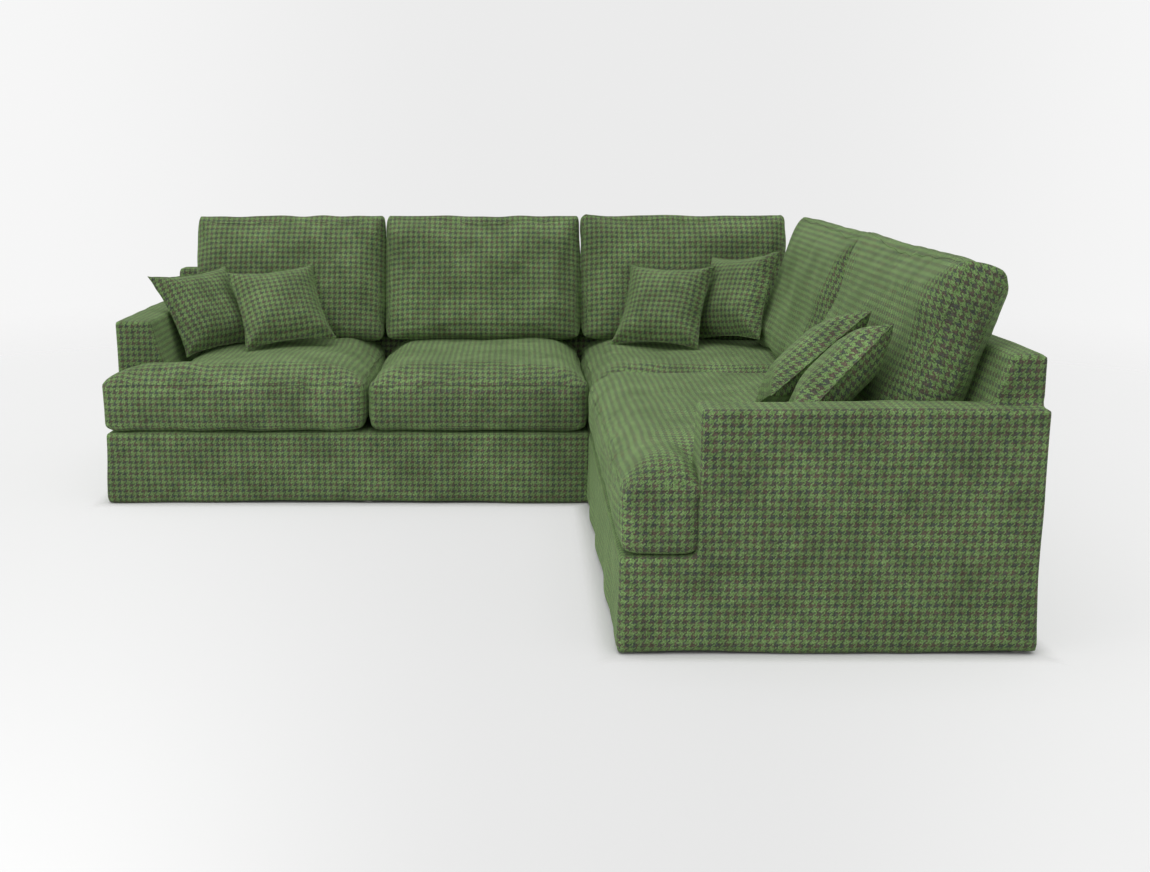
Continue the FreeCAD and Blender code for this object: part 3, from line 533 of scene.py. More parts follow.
def seam_lines(name, lines, radius):
    """Seam cords along lines of points. Each line is (points, closed)."""
    mesh = bpy.data.meshes.new(name)
    points = []
    edges = []
    for line, closed in lines:
        start = len(points)
        points += [tuple(point) for point in line]
        edges += [(start + step, start + step + 1) for step in range(len(line) - 1)]
        if closed:
            edges.append((start + len(line) - 1, start))
    mesh.from_pydata(points, edges, [])
    piece = piece_from(mesh, name)
    sweep = piece.modifiers.new("sweep", "NODES")
    sweep.node_group = SEAM_TREE
    sweep[SEAM_RADIUS] = radius
    sweep[SEAM_SPACING] = SEAM_STEP
    piece = finished(piece)
    for polygon in piece.data.polygons:
        polygon.use_smooth = True
    write_pattern(piece.data, box_panels)
    return piece


def joined(piece, *others):
    """Several meshes in the first piece's object."""
    work = bmesh.new()
    work.from_mesh(piece.data)
    for other in others:
        work.from_mesh(other.data)
        bpy.data.objects.remove(other)
    work.to_mesh(piece.data)
    work.free()
    piece.data.materials.clear()
    piece.data.materials.append(CLOTH)
    return piece


def eased(line, closed):
    """A line of points with its small steps smoothed out."""
    points = np.array(line, dtype=float)
    for _ in range(SEAM_EASING):
        before = np.roll(points, 1, axis=0)
        after = np.roll(points, -1, axis=0)
        moved = points * 0.5 + (before + after) * 0.25
        if not closed:
            moved[0] = points[0]
            moved[-1] = points[-1]
        points = moved
    return points


def section_loops(piece, point, direction):
    """The closed lines where a plane cuts a piece."""
    work = bmesh.new()
    work.from_mesh(piece.data)
    cut = bmesh.ops.bisect_plane(work, geom=[*work.verts, *work.edges, *work.faces],
                                 plane_co=point, plane_no=direction)
    edges = [item for item in cut["geom_cut"] if isinstance(item, bmesh.types.BMEdge)]
    links = {}
    for edge in edges:
        for vertex in edge.verts:
            links.setdefault(vertex, []).append(edge.other_vert(vertex))
    loops = []
    waiting = set(links)
    while waiting:
        vertex = waiting.pop()
        line = [vertex]
        while True:
            following = [other for other in links[vertex] if other in waiting]
            if not following:
                break
            vertex = following[0]
            waiting.remove(vertex)
            line.append(vertex)
        if len(line) > FEWEST_LOOP_POINTS:
            loops.append([tuple(item.co) for item in line])
    work.free()
    return loops


# Fixed covers over the arms, backs and bases

COVER_VOXEL = 0.0085
COVER_EASING = 3
HEM_THICKNESS = 0.003
HEM_DEPTH = 0.030
SHARP_EDGE = math.radians(30)
EDGE_STEP = 0.012
TOUCHING_ROOM = 0.001
SEAM_OVER_HEM = 0.004
SEAM_SINK = 0.0008
SEAM_SEARCH = 0.02
FACING_DOWN = -0.5
FACING_UP = 0.9

# Waves in the hanging cloth: their length, and their height
SLACK_WAVES = (0.45, 0.0012)
SMALL_SLACK_WAVES = (0.16, 0.0005)
SWAY_WAVES = (0.28, 0.5)
LIFT_WAVES = (0.38, 0.003)
COVER_SLACK = 0.0030
LEAST_SLACK = 0.0015
HEM_SWAY = 0.009
SWAY_TOP = 0.22


def in_hull(hull, point, room):
    return all((point - face.verts[0].co).dot(face.normal) < room for face in hull.faces)


def free_edges(hulls):
    """The outward corners of a group of blocks, as lines of points."""
    lines = []
    for hull in hulls:
        for edge in hull.edges:
            if edge.calc_face_angle(0) < SHARP_EDGE:
                continue
            start, end = (vertex.co for vertex in edge.verts)
            count = max(2, int((end - start).length / EDGE_STEP))
            line = []
            for step in range(count + 1):
                point = start.lerp(end, step / count)
                touching = any(in_hull(other, point, TOUCHING_ROOM) for other in hulls
                               if other is not hull)
                if touching or point.z < HEM_LEVEL + SEAM_OVER_HEM:
                    if len(line) > FEWEST_LINE_POINTS:
                        lines.append(line)
                    line = []
                else:
                    line.append(point)
            if len(line) > FEWEST_LINE_POINTS:
                lines.append(line)
    return lines


def seat_seams_on(piece, lines):
    """Lines moved onto a piece's surface, a little below it."""
    tree = BVHTree.FromPolygons([vertex.co for vertex in piece.data.vertices],
                                [polygon.vertices for polygon in piece.data.polygons])
    laid = []
    for line in lines:
        points = []
        for point in line:
            place, normal, _, distance = tree.find_nearest(point)
            if place is None or distance > SEAM_SEARCH:
                continue
            points.append(place - normal * SEAM_SINK)
        if len(points) > FEWEST_LINE_POINTS:
            laid.append((eased(points, False), False))
    return laid


def fold_hem(mesh):
    """Opens the underside and turns the cloth in along its lower edge."""
    work = bmesh.new()
    work.from_mesh(mesh)
    lowest = min(vertex.co.z for vertex in work.verts)
    under = [face for face in work.faces
             if face.calc_center_median().z < lowest + COVER_VOXEL
             and face.normal.z < FACING_DOWN]
    bmesh.ops.delete(work, geom=under, context="FACES")
    rim = [edge for edge in work.edges if edge.is_boundary]
    middle = sum((vertex.co for edge in rim for vertex in edge.verts), Vector()) / (2 * len(rim))
    inwards = {}
    for edge in rim:
        face = edge.link_faces[0]
        for vertex in edge.verts:
            inwards.setdefault(vertex, Vector())
            flat = Vector((face.normal.x, face.normal.y, 0))
            if flat.length > 0:
                inwards[vertex] -= flat.normalized()
    for vertex in inwards:
        vertex.co.z = HEM_LEVEL
    rows = rim
    for sideways, level in ((HEM_THICKNESS, HEM_LEVEL), (0.0, HEM_LEVEL + HEM_DEPTH)):
        made = bmesh.ops.extrude_edge_only(work, edges=rows)["geom"]
        fresh = [item for item in made if isinstance(item, bmesh.types.BMVert)]
        rows = [item for item in made if isinstance(item, bmesh.types.BMEdge) and item.is_boundary]
        following = {}
        for vertex in fresh:
            source = next(edge.other_vert(vertex) for edge in vertex.link_edges
                          if edge.other_vert(vertex) in inwards)
            push = inwards[source]
            following[vertex] = push
            if push.length > 0:
                vertex.co += push.normalized() * sideways
            vertex.co.z = level
        inwards = following
    bmesh.ops.recalc_face_normals(work, faces=work.faces)
    outward = next((face for face in work.faces if face.normal.z > FACING_UP), None)
    if outward and outward.calc_center_median().z < middle.z:
        bmesh.ops.reverse_faces(work, faces=work.faces)
    work.to_mesh(mesh)
    work.free()


def loose_cover(name, parts, seed):
    """One unit's sewn cover over its base, arm and back."""
    hulls = [convex(points) for node in parts for points in blocks(node)]
    work = bmesh.new()
    for hull in hulls:
        shape = bpy.data.meshes.new("block")
        hull.to_mesh(shape)
        work.from_mesh(shape)
        bpy.data.meshes.remove(shape)
    mesh = bpy.data.meshes.new(name)
    work.to_mesh(mesh)
    work.free()
    piece = remeshed(piece_from(mesh, name), COVER_VOXEL, COVER_EASING)
    lines = seat_seams_on(piece, free_edges(hulls))
    fold_hem(piece.data)
    hang(piece.data, seed)
    lines = [(hung(np.array(line), None, seed), closed) for line, closed in lines]
    for polygon in piece.data.polygons:
        polygon.use_smooth = True
    write_pattern(piece.data, box_panels)
    piece = joined(piece, seam_lines(f"{name}_seams", lines, COVER_SEAM))
    for hull in hulls:
        hull.free()
    return piece


def hung(places, directions, seed):
    """Where the cloth really hangs: slack over its padding, and swaying along its hem."""
    slack = ripples(places, seed, SLACK_WAVES) + ripples(places, seed + 1, SMALL_SLACK_WAVES)
    flat = places * [1, 1, 0]
    low = 1 - smooth_step(places[:, 2], HEM_LEVEL, SWAY_TOP)
    sway = np.maximum(ripples(flat, seed + 2, SWAY_WAVES) + 0.5, 0) * HEM_SWAY * low
    lift = ripples(flat, seed + 3, LIFT_WAVES) * low ** 3
    moved = places.copy()
    if directions is not None:
        outwards = directions * [1, 1, 0]
        moved += directions * np.maximum(slack + COVER_SLACK, LEAST_SLACK)[:, None]
        moved += outwards * sway[:, None]
    moved[:, 2] = np.maximum(moved[:, 2] + lift, LOWEST_HEM)
    return moved


def hang(mesh, seed):
    set_coordinates(mesh, hung(coordinates(mesh), normals(mesh), seed))


# Seat and back cushions

CUSHION_VOXEL = 0.0115
CUSHION_EASING = 4
SEAT_CORNER = 0.050
SEAT_FOOT = 0.034
BACK_SHOULDER = 0.150
CORNER_LEAN = 0.060
CORNER_LEAN_RUN = 0.50
BACK_DRAW = 0.009

# How far in from each side a cushion's crown rises
SEAT_FRONT_REACH = 0.110
SEAT_SIDE_REACH = 0.130
SEAT_REAR_REACH = 0.060
BACK_FOOT_REACH = 0.045

# Waves in the filled cloth: their length, and their height
SEAT_WAVES = (0.40, 0.0035)
SEAT_CREASES = (0.12, 0.0011)
SEAM_GATHERS = (0.055, 0.0012)
BACK_WAVES = (0.34, 0.0045)
BACK_CREASES = (0.12, 0.0013)
SEAT_WAVE_LEVELS = (0.36, 0.45)
GATHER_REACH = 0.030
SEAM_DROP = 0.004
BACK_FLAT_DEPTH = 0.10
BACK_FULL_DEPTH = 0.03

# How the cushions are filled: air under a cloth simulation, and how far each kind may swell
FILLING_FRAMES = 12
CLOTH_QUALITY = 3
CLOTH_MASS = 0.3
STRETCH_STIFFNESS = 25
SHEAR_STIFFNESS = 12
BENDING_STIFFNESS = 2
AIR_PRESSURE = 2.5
SEAT_SWELL = 0.006
BACK_SWELL = 0.007
SCATTER_SWELL = 0.004


def outer_shell(node):
    """A copy of the outside of a hollow node."""
    work = bmesh.new()
    work.from_mesh(NODES[node].data)
    bmesh.ops.remove_doubles(work, verts=work.verts, dist=WELD)
    waiting = set(work.verts)
    groups = []
    while waiting:
        reached = [waiting.pop()]
        for vertex in reached:
            for edge in vertex.link_edges:
                other = edge.other_vert(vertex)
                if other in waiting:
                    waiting.remove(other)
                    reached.append(other)
        groups.append(reached)
    groups.sort(key=lambda group: -np.ptp(np.array([vertex.co for vertex in group]), axis=0).sum())
    for group in groups[1:]:
        bmesh.ops.delete(work, geom=group, context="VERTS")
    mesh = bpy.data.meshes.new(node)
    work.to_mesh(mesh)
    work.free()
    return mesh


def plump(pieces, caps):
    """Fills sewn covers with air under a cloth simulation, and keeps a capped share of it."""
    rests = [coordinates(piece.data) for piece in pieces]
    for piece in pieces:
        cloth = piece.modifiers.new("cloth", "CLOTH")
        cloth.settings.quality = CLOTH_QUALITY
        cloth.settings.mass = CLOTH_MASS
        cloth.settings.tension_stiffness = STRETCH_STIFFNESS
        cloth.settings.compression_stiffness = STRETCH_STIFFNESS
        cloth.settings.shear_stiffness = SHEAR_STIFFNESS
        cloth.settings.bending_stiffness = BENDING_STIFFNESS
        cloth.settings.use_pressure = True
        cloth.settings.uniform_pressure_force = AIR_PRESSURE
        cloth.settings.effector_weights.gravity = 0
        cloth.collision_settings.use_collision = False
    for number in range(1, FILLING_FRAMES + 1):
        SCENE.frame_set(number)
    depsgraph = bpy.context.evaluated_depsgraph_get()
    for piece, rest, cap in zip(pieces, rests, caps):
        filled = coordinates(piece.evaluated_get(depsgraph).data)
        moved = filled - rest
        length = np.linalg.norm(moved, axis=1)
        share = np.minimum(1, cap / np.maximum(length, TINY))
        piece.modifiers.clear()
        set_coordinates(piece.data, rest + moved * share[:, None])
    SCENE.frame_set(1)


def subdivided(piece):
    finer = piece.modifiers.new("finer", "SUBSURF")
    finer.levels = 1
    finer.render_levels = 1
    return finished(piece)


LEVEL_AXES = CushionAxes((0, 0, 0), (1, 0, 0), (0, 1, 0), (0, 0, 1))


def fitted(piece, node, axes):
    """Brings a filled piece back to the size of its node, along its own directions."""
    goal = axes.inside(coordinates(NODES[node].data))
    own = axes.inside(coordinates(piece.data))
    low = own.min(axis=0)
    share = np.ptp(goal, axis=0) / np.ptp(own, axis=0)
    set_coordinates(piece.data, axes.outside((own - low) * share + goal.min(axis=0)))


def rounded_off(first, second, radius):
    """Two distances in from two faces, with the edge between the faces rounded off."""
    from_first = np.maximum(radius - first, 0)
    from_second = np.maximum(radius - second, 0)
    far = np.hypot(from_first, from_second)
    share = np.where(far > radius, radius / np.maximum(far, TINY), 1.0)
    return (np.where(from_first > 0, radius - from_first * share, first),
            np.where(from_second > 0, radius - from_second * share, second))


def cushion_shape(name):
    """A seat or back cushion before it is filled, from the outside of its node."""
    piece = piece_from(outer_shell(f"{name}_cover"), f"{name}_cushion")
    return remeshed(piece, CUSHION_VOXEL, CUSHION_EASING)


def round_seat_corners(name, places, low, high):
    """Slumps a seat cushion's front corners, where its filling doesn't reach."""
    depth, width = (0, 1) if name == "seat_return" else (1, 0)
    for side in (-1, 1):
        end = low[width] if side < 0 else high[width]
        beside = (end - places[:, width]) * side
        front = places[:, depth] - low[depth]
        above = places[:, 2] - low.z
        beside, front = rounded_off(beside, front, SEAT_CORNER)
        beside, above = rounded_off(beside, above, SEAT_FOOT)
        places[:, width] = end - beside * side
        places[:, depth] = front + low[depth]
        places[:, 2] = above + low.z


def dress_seat(name, piece, seed):
    """Rounded corners, wrinkles, pattern and top seam of a seat cushion."""
    low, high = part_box(f"{name}_cover")
    mesh = piece.data
    places = coordinates(mesh)
    round_seat_corners(name, places, low, high)
    set_coordinates(mesh, places)
    directions = normals(mesh)
    broad = ripples(places, seed, SEAT_WAVES) * smooth_step(places[:, 2], *SEAT_WAVE_LEVELS)
    fine = ripples(places, seed + 1, SEAT_CREASES)
    near_seam = np.exp(-((places[:, 2] - SEAT_SEAM_LEVEL) / GATHER_REACH) ** 2)
    gather = ripples(places, seed + 2, SEAM_GATHERS) * near_seam
    places += directions * (broad + fine + gather)[:, None]
    places[:, 2] = np.maximum(places[:, 2], low.z)
    set_coordinates(mesh, places)
    if name == "seat_return":
        sides = ((low.x, SEAT_FRONT_REACH), (high.x, SEAT_REAR_REACH),
                 (low.y, SEAT_SIDE_REACH), (high.y, SEAT_REAR_REACH))
    else:
        sides = ((low.x, SEAT_SIDE_REACH), (high.x, SEAT_SIDE_REACH),
                 (low.y, SEAT_FRONT_REACH), (high.y, SEAT_REAR_REACH))
    write_pattern(mesh, cushion_panels(LEVEL_AXES, sides, SEAT_CROWN))
    loops = section_loops(piece, (0, 0, SEAT_SEAM_LEVEL - SEAM_DROP), (0, 0, 1))
    lines = [(eased(loop, True), True) for loop in loops]
    return joined(piece, seam_lines(f"{name}_seams", lines, CUSHION_SEAM))


NODE_TOPS = {name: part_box(f"{name}_cover")[1].z for name in BACKS}


def back_axes(name):
    """The directions of a back cushion that leans towards +Y or +X."""
    sine, cosine = math.sin(BACK_RAKE), math.cos(BACK_RAKE)
    if name.startswith("back_return"):
        return (0, 1, 0), (sine, 0, cosine), (-cosine, 0, sine)
    return (1, 0, 0), (0, sine, cosine), (0, -cosine, sine)


def back_places(name, axes, own, low, high):
    """A back cushion with its sides drawn in, its top rounded and the far return one leaned."""
    middle = (low + high) / 2
    half = (high - low) / 2
    up_the_side = (own[:, 1] - middle[1]) / half[1]
    across = (own[:, 0] - middle[0]) / half[0]
    own[:, 0] += across ** 3 * BACK_DRAW * np.clip(1 - up_the_side ** 2, 0, 1)
    places = axes.outside(own)
    top = NODE_TOPS[name]
    if name == "back_return_far":
        far_end = smooth_step(own[:, 0], high[0] - CORNER_LEAN_RUN, high[0])
        height = (places[:, 2] - places[:, 2].min()) / np.ptp(places[:, 2])
        places += (far_end * height * CORNER_LEAN)[:, None] * axes.matrix[0]
    behind, below = rounded_off(own[:, 2] - low[2], top - places[:, 2], BACK_SHOULDER)
    places += (behind - own[:, 2] + low[2])[:, None] * axes.matrix[2]
    places[:, 2] = top - below
    return places


def dress_back(name, piece, seed):
    """Final shape, wrinkles, pattern and seams of a back cushion."""
    mesh = piece.data
    axes = CushionAxes((0, 0, 0), *back_axes(name))
    solid = axes.inside(coordinates(NODES[f"{name}_cover"].data))
    low = solid.min(axis=0)
    high = solid.max(axis=0)
    places = back_places(name, axes, axes.inside(coordinates(mesh)), low, high)
    set_coordinates(mesh, places)
    directions = normals(mesh)
    out = axes.inside(places)[:, 2]
    front = smooth_step(out, low[2] + BACK_FLAT_DEPTH, high[2] - BACK_FULL_DEPTH)
    broad = ripples(places, seed, BACK_WAVES) * front
    fine = ripples(places, seed + 1, BACK_CREASES)
    places += directions * (broad + fine)[:, None]
    set_coordinates(mesh, places)
    sides = ((low[0], BACK_REACH), (high[0], BACK_REACH),
             (low[1], BACK_FOOT_REACH), (high[1], BACK_REACH))
    write_pattern(mesh, cushion_panels(axes, sides, BACK_CROWN))
    outwards = Vector(axes.matrix[2])
    lines = []
    for depth in (BACK_CROWN, BACK_THICKNESS - BACK_CROWN):
        loops = section_loops(piece, outwards * (low[2] + depth), outwards)
        lines += [(eased(loop, True), True) for loop in loops]
    return joined(piece, seam_lines(f"{name}_seams", lines, CUSHION_SEAM))


# Scatter cushions

SCATTER_CELLS = 30
EVEN_SHARE = 0.45
CROWDED_SHARE = 0.55
LEAST_INSET = 1e-6
CORNER_POWER = 3
CORNER_FULLNESS = 1.12
PUCKERS = (0.045, 0.0016)
PUCKER_REACH = 0.030
SCATTER_WAVES = (0.17, 0.0022)
SCATTER_WAVE_INSETS = (0.01, 0.07)


def scatter_axes(name):
    """A scatter cushion's middle and its own directions, from the node that it stands for."""
    turn, lean, tilt = (math.radians(angle) for angle in SCATTERS[name])
    turned = (Matrix.Rotation(turn, 3, "Z") @ Matrix.Rotation(-lean, 3, "X")
              @ Matrix.Rotation(tilt, 3, "Y"))
    rows = np.array(turned.transposed())
    own = coordinates(NODES[name].data) @ rows.T
    middle = (own.min(axis=0) + own.max(axis=0)) / 2
    return CushionAxes(middle @ rows, rows[0], rows[2], -rows[1])


def scatter_shape(name):
    """Two square panels sewn edge to edge, with pointed corners and drawn-in sides."""
    axes = scatter_axes(name)
    half = SCATTER_SIDE / 2
    even = np.linspace(-1, 1, SCATTER_CELLS + 1)
    steps = CROWDED_SHARE * np.sin(even * math.pi / 2) + EVEN_SHARE * even
    a, b = np.meshgrid(steps, steps, indexing="ij")
    draw = SCATTER_DRAW / half
    width = half * a * (1 - draw * (1 - b ** 2))
    height = half * b * (1 - draw * (1 - a ** 2))
    inset = np.minimum(1 - np.abs(a), 1 - np.abs(b)) * half
    soft = 1 / (1 / np.maximum((1 - np.abs(a)) * half, LEAST_INSET) ** CORNER_POWER
                + 1 / np.maximum((1 - np.abs(b)) * half, LEAST_INSET) ** CORNER_POWER
                ) ** (1 / CORNER_POWER)
    share = np.clip(np.minimum(inset, soft * CORNER_FULLNESS) / SCATTER_REACH, 0, 1)
    bulge = SCATTER_THICKNESS / 2 * (1 - (1 - share) ** CROWN_POWER)
    count = SCATTER_CELLS + 1
    number = np.arange(count * count).reshape(count, count)
    front = np.stack([width, height, bulge], -1).reshape(-1, 3)
    rear = front * [1, 1, -1]
    inner = (inset > TINY).reshape(-1)
    rear_number = np.where(inner, np.cumsum(inner) - 1 + count * count, number.reshape(-1))
    points = np.concatenate([front, rear[inner]])
    faces = []
    for i in range(SCATTER_CELLS):
        for j in range(SCATTER_CELLS):
            corner = [number[i, j], number[i + 1, j], number[i + 1, j + 1], number[i, j + 1]]
            faces.append([int(place) for place in corner])
            faces.append([int(rear_number[place]) for place in reversed(corner)])
    mesh = bpy.data.meshes.new(name)
    mesh.from_pydata(axes.outside(points).tolist(), [], faces)
    mesh.update()
    return piece_from(mesh, f"{name}_cushion")


def dress_scatter(name, piece, seed):
    """Pattern, puckers and edge seam of a scatter cushion."""
    axes = scatter_axes(name)
    mesh = piece.data
    places = coordinates(mesh)
    directions = normals(mesh)
    own = axes.inside(places)
    half = SCATTER_SIDE / 2
    edge = half - np.maximum(np.abs(own[:, 0]), np.abs(own[:, 1]))
    pucker = ripples(places, seed, PUCKERS) * np.exp(-np.maximum(edge, 0) / PUCKER_REACH)
    broad = ripples(places, seed + 1, SCATTER_WAVES) * smooth_step(edge, *SCATTER_WAVE_INSETS)
    places += directions * (pucker + broad)[:, None]
    set_coordinates(mesh, places)
    sides = ((-half, SCATTER_REACH), (half, SCATTER_REACH)) * 2
    write_pattern(mesh, cushion_panels(axes, sides, SCATTER_THICKNESS / 2, least_facing=0.0))


def edge_line():
    """The corners of the grid along the seam where a scatter cushion's two panels meet."""
    count = SCATTER_CELLS + 1
    number = np.arange(count * count).reshape(count, count)
    order = [*number[0, :-1], *number[:-1, -1], *number[-1, :0:-1], *number[:0:-1, 0]]
    return [int(place) for place in order]


# Parts of the inside that a raised cushion or a low view shows

LINING_ANGLE = 0.01
LINING_EDGE = 0.09
LINING_CUTS = 4
LINING_SEED = 71
LINING_WAVES = (0.35, 0.5)
LINING_SAG = 0.004


def lining_under(node):
    """Black lining, slack between its staples."""
    work = bmesh.new()
    work.from_mesh(NODES[node].data)
    bmesh.ops.remove_doubles(work, verts=work.verts, dist=WELD)
    bmesh.ops.dissolve_limit(work, angle_limit=LINING_ANGLE, verts=work.verts,
                             edges=work.edges)
    bmesh.ops.triangulate(work, faces=work.faces)
    for _ in range(LINING_CUTS):
        long_edges = [edge for edge in work.edges if edge.calc_length() > LINING_EDGE]
        bmesh.ops.subdivide_edges(work, edges=long_edges, cuts=1)
        bmesh.ops.triangulate(work, faces=work.faces)
    mesh = bpy.data.meshes.new("base_lining")
    work.to_mesh(mesh)
    work.free()
    places = coordinates(mesh)
    places[:, 2] -= (ripples(places, LINING_SEED, LINING_WAVES) + 0.5) * LINING_SAG
    set_coordinates(mesh, places)
    piece = piece_from(mesh, "base_lining")
    piece.data.materials.append(LINING)
    return piece


# Assembly of the pieces

SEAT_SEED = 100
BACK_SEED = 200
SCATTER_SEED = 300
SEED_STEP = 10


def build_covers():
    units = {
        # nodes whose shape the cover takes, nodes that it hides, seed
        "left_cover": (("left_base_cover", "left_arm_cover", "left_back_cover"),
                       ("left_arm_pad", "left_back_pad", "left_deck"), 11),
        "corner_cover": (("corner_base_cover", "corner_back_cover"),
                         ("corner_back_pad", "corner_deck"), 21),
        "return_cover": (("return_base_cover", "return_arm_cover", "return_back_cover"),
                         ("return_arm_pad", "return_back_pad", "return_deck"), 31),
    }
    for name, (parts, hidden, seed) in units.items():
        piece = loose_cover(name, parts, seed)
        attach(piece, "base")
        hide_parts(*parts, *hidden)


def build_cushions():
    shapes = {name: cushion_shape(name) for name in (*SEATS, *BACKS)}
    shapes.update({name: scatter_shape(name) for name in SCATTERS})
    caps = ([SEAT_SWELL] * len(SEATS) + [BACK_SWELL] * len(BACKS)
            + [SCATTER_SWELL] * len(SCATTERS))
    plump(list(shapes.values()), caps)
    for name, piece in shapes.items():
        if name in SCATTERS:
            fitted(piece, name, scatter_axes(name))
        elif name in BACKS:
            fitted(piece, f"{name}_cover", CushionAxes((0, 0, 0), *back_axes(name)))
        else:
            fitted(piece, f"{name}_cover", LEVEL_AXES)
    for number, name in enumerate(SEATS):
        piece = dress_seat(name, subdivided(shapes[name]), SEAT_SEED + SEED_STEP * number)
        cushion_done(name, piece, f"{name}_cover", f"{name}_filling", fill=0.85)
    for number, name in enumerate(BACKS):
        piece = dress_back(name, subdivided(shapes[name]), BACK_SEED + SEED_STEP * number)
        cushion_done(name, piece, f"{name}_cover", f"{name}_filling", fill=0.8)
    for number, name in enumerate(SCATTERS):
        piece = shapes[name]
        dress_scatter(name, piece, SCATTER_SEED + SEED_STEP * number)
        seam = [tuple(piece.data.vertices[place].co) for place in edge_line()]
        piece = joined(subdivided(piece),
                       seam_lines(f"{name}_seams", [(seam, True)], CUSHION_SEAM))
        cushion_done(name, piece, name, fill=0.75)


def cushion_done(body, piece, *nodes, fill):
    """Smooths a finished cushion, attaches it to its body and hides the nodes it stands for."""
    for polygon in piece.data.polygons:
        polygon.use_smooth = True
    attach(piece, body)
    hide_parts(*nodes)


def finish_inside():
    wood = [f"{part}_frame" for part in ARMS_AND_BACKS]
    wood += [f"{unit}_seat_frame" for unit in ("left", "corner", "return")] + ["glue_blocks"]
    finishes = {name: SOFTWOOD for name in wood}
    finishes.update({"feet": STAINED_WOOD, "glides": NYLON, "link_bolts": ZINC,
                     "link_nuts": ZINC, "webbing_lengthways": WEBBING,
                     "webbing_crossways": WEBBING})
    for name, material in finishes.items():
        NODES[name].data.materials.clear()
        NODES[name].data.materials.append(material)
    lining = lining_under("dust_covers")
    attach(lining, "base")
    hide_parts("dust_covers")


# Studio

ROOM_LIGHT = 0.45
LAMPS = (
    # name, direction of its light, angle that it fills, strength
    ("ceiling_light", (0.10, 0.12, -1.0), 1.3, 1.15),
    ("window_light", (0.85, 0.30, -0.75), 0.9, 0.20),
)
FRONT_PANEL_PLACE = Vector((-1.4, -2.6, 0.9))
FRONT_PANEL_AIM = Vector((-0.4, 0.2, 0.3))
FRONT_PANEL_SIDE = 1.6
FRONT_PANEL_POWER = 11
CAMERA_PLACE = (0.081, -4.4193, 1.2114)
CAMERA_PITCH = 0.2071
FOCAL_PIXELS = 1398.5
PHOTO_WIDTH = 1150
AXIS_PIXEL = 516.9
SENSOR_WIDTH = 36.0

FLOOR_RADIUS = 7.0
FLOOR_SIDES = 96
FADE_START = 3.5
FOOTPRINTS = (
    # middle and half size of the two wings, in plan
    ((0.007, 0.7275), (1.320, 0.500)),
    ((0.827, 0.0025), (0.500, 1.225)),
)
PAPER_MIDDLE = 0.832
PAPER_SIDE = 0.925
PAPER_BOUNCE = 0.55
PALEST_SLOPES = (0.08, 0.44)
MIDDLE_SLOPE = 0.074
LEAST_DISTANCE = 0.5
LEAST_FORWARD = 0.05
CONTACT_FADE = 0.07
FAINT_SHADOW = 0.35


def paper_tone(finish, x, y):
    """Brightness of the paper: palest towards both sides of the view."""
    slope = (x / y - MIDDLE_SLOPE).maths("ABSOLUTE")
    return finish.mapped(slope, PALEST_SLOPES, (PAPER_MIDDLE, PAPER_SIDE),
                         interpolation_type="SMOOTHSTEP")


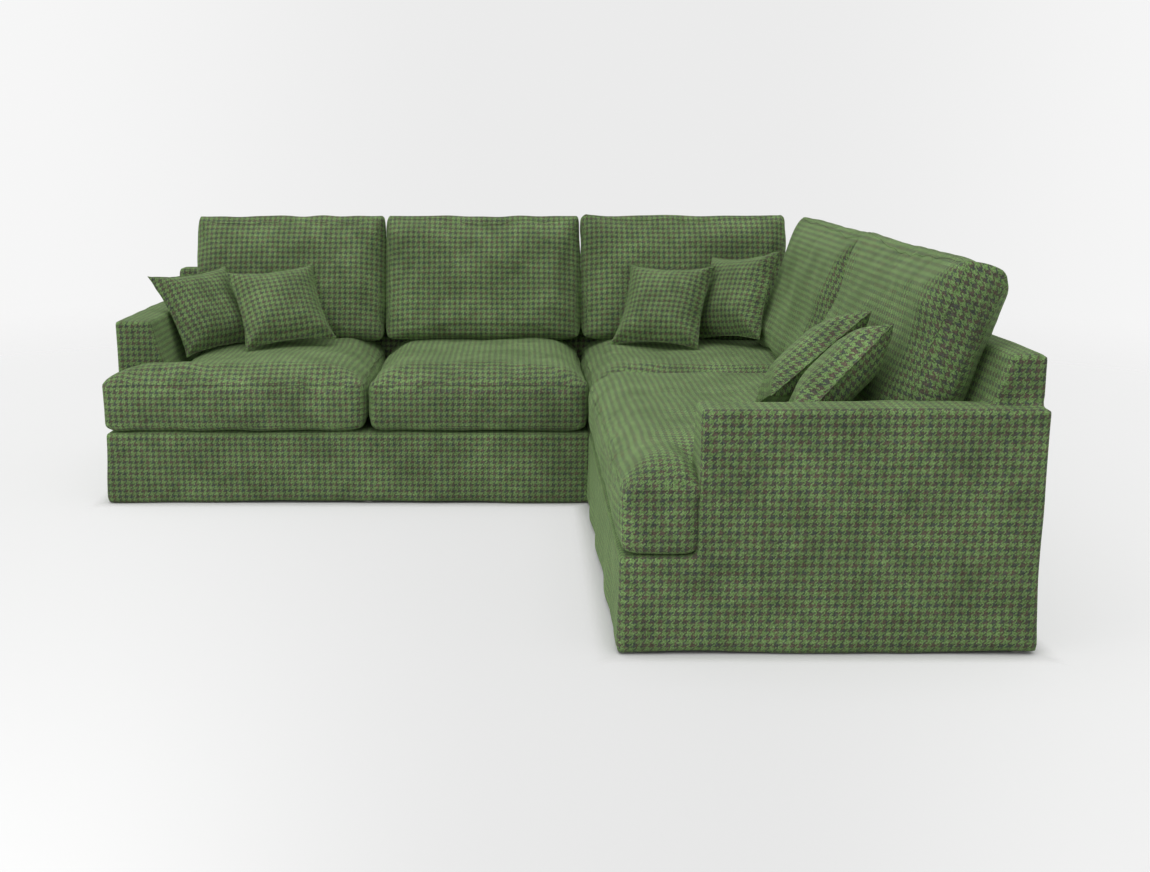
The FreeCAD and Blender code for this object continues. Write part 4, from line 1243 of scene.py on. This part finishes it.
def studio_floor():
    """A round floor that fades out into the pale surroundings."""
    work = bmesh.new()
    bmesh.ops.create_circle(work, cap_ends=True, segments=FLOOR_SIDES, radius=FLOOR_RADIUS)
    mesh = bpy.data.meshes.new("studio_floor")
    work.to_mesh(mesh)
    work.free()
    floor = piece_from(mesh, "studio_floor")
    finish = Finish(bpy.data.materials.new("studio_paper"))
    place = finish.add("ShaderNodeSeparateXYZ", None,
                       finish.add("ShaderNodeTexCoord").part("Object"))
    x = place.part("X")
    y = place.part("Y")
    seen = finish.add("ShaderNodeLightPath").part("Is Camera Ray")
    tone = paper_tone(finish, x - CAMERA_PLACE[0],
                      (y - CAMERA_PLACE[1]).maths("MAXIMUM", LEAST_DISTANCE))
    clear = None
    for (middle_x, middle_y), (half_x, half_y) in FOOTPRINTS:
        beyond = ((x - middle_x).maths("ABSOLUTE") - half_x).maths(
            "MAXIMUM", (y - middle_y).maths("ABSOLUTE") - half_y)
        clear = beyond if clear is None else clear.maths("MINIMUM", beyond)
    near = finish.mapped(clear, (0.0, CONTACT_FADE), (1.0, FAINT_SHADOW),
                         interpolation_type="SMOOTHSTEP")
    reach = (x * x + y * y).maths("SQRT")
    fade = finish.mapped(reach, (FADE_START, FLOOR_RADIUS), (1.0, 0.0),
                         interpolation_type="SMOOTHSTEP")
    grey = seen * tone + (1 - seen) * PAPER_BOUNCE
    shader = finish.add("ShaderNodeBsdfPrincipled", None, base_color=grey, roughness=1.0,
                        specular_ior_level=0.0, alpha=seen * near * fade + (1 - seen))
    finish.add("ShaderNodeOutputMaterial", None, surface=shader)
    floor.data.materials.append(finish.owner)


def studio_surroundings():
    """A pale backdrop to the camera, and an even soft light to everything else."""
    SCENE.world = bpy.data.worlds.new("studio")
    finish = Finish(SCENE.world)
    way = finish.add("ShaderNodeSeparateXYZ", None,
                     finish.add("ShaderNodeTexCoord").part("Generated"))
    seen = finish.add("ShaderNodeLightPath").part("Is Camera Ray")
    tone = paper_tone(finish, way.part("X"), way.part("Y").maths("MAXIMUM", LEAST_FORWARD))
    background = finish.add("ShaderNodeBackground", None, color=(1.0, 1.0, 1.0),
                            strength=seen * tone + (1 - seen) * ROOM_LIGHT)
    finish.add("ShaderNodeOutputWorld", None, surface=background)


def studio_lamps():
    for name, way_down, softness, strength in LAMPS:
        lamp = bpy.data.lights.new(name, "SUN")
        lamp.angle = softness
        lamp.energy = strength
        light = bpy.data.objects.new(name, lamp)
        SCENE.collection.objects.link(light)
        light.rotation_euler = Vector(way_down).to_track_quat("-Z", "Y").to_euler()
    panel = bpy.data.lights.new("front_panel", "AREA")
    panel.size = FRONT_PANEL_SIDE
    panel.energy = FRONT_PANEL_POWER
    light = bpy.data.objects.new("front_panel", panel)
    SCENE.collection.objects.link(light)
    light.location = FRONT_PANEL_PLACE
    light.visible_camera = False
    aim = FRONT_PANEL_AIM - light.location
    light.rotation_euler = aim.to_track_quat("-Z", "Y").to_euler()


def studio_camera():
    camera = bpy.data.cameras.new("photo_camera")
    camera.sensor_width = SENSOR_WIDTH
    camera.sensor_fit = "HORIZONTAL"
    camera.lens = FOCAL_PIXELS / PHOTO_WIDTH * SENSOR_WIDTH
    camera.shift_x = 0.5 - AXIS_PIXEL / PHOTO_WIDTH
    held = bpy.data.objects.new("photo_camera", camera)
    SCENE.collection.objects.link(held)
    held.location = CAMERA_PLACE
    held.rotation_euler = (math.pi / 2 - CAMERA_PITCH, 0, 0)
    SCENE.camera = held


build_covers()
build_cushions()
finish_inside()
studio_floor()
studio_surroundings()
studio_lamps()
studio_camera()
SCENE.view_settings.view_transform = "Standard"
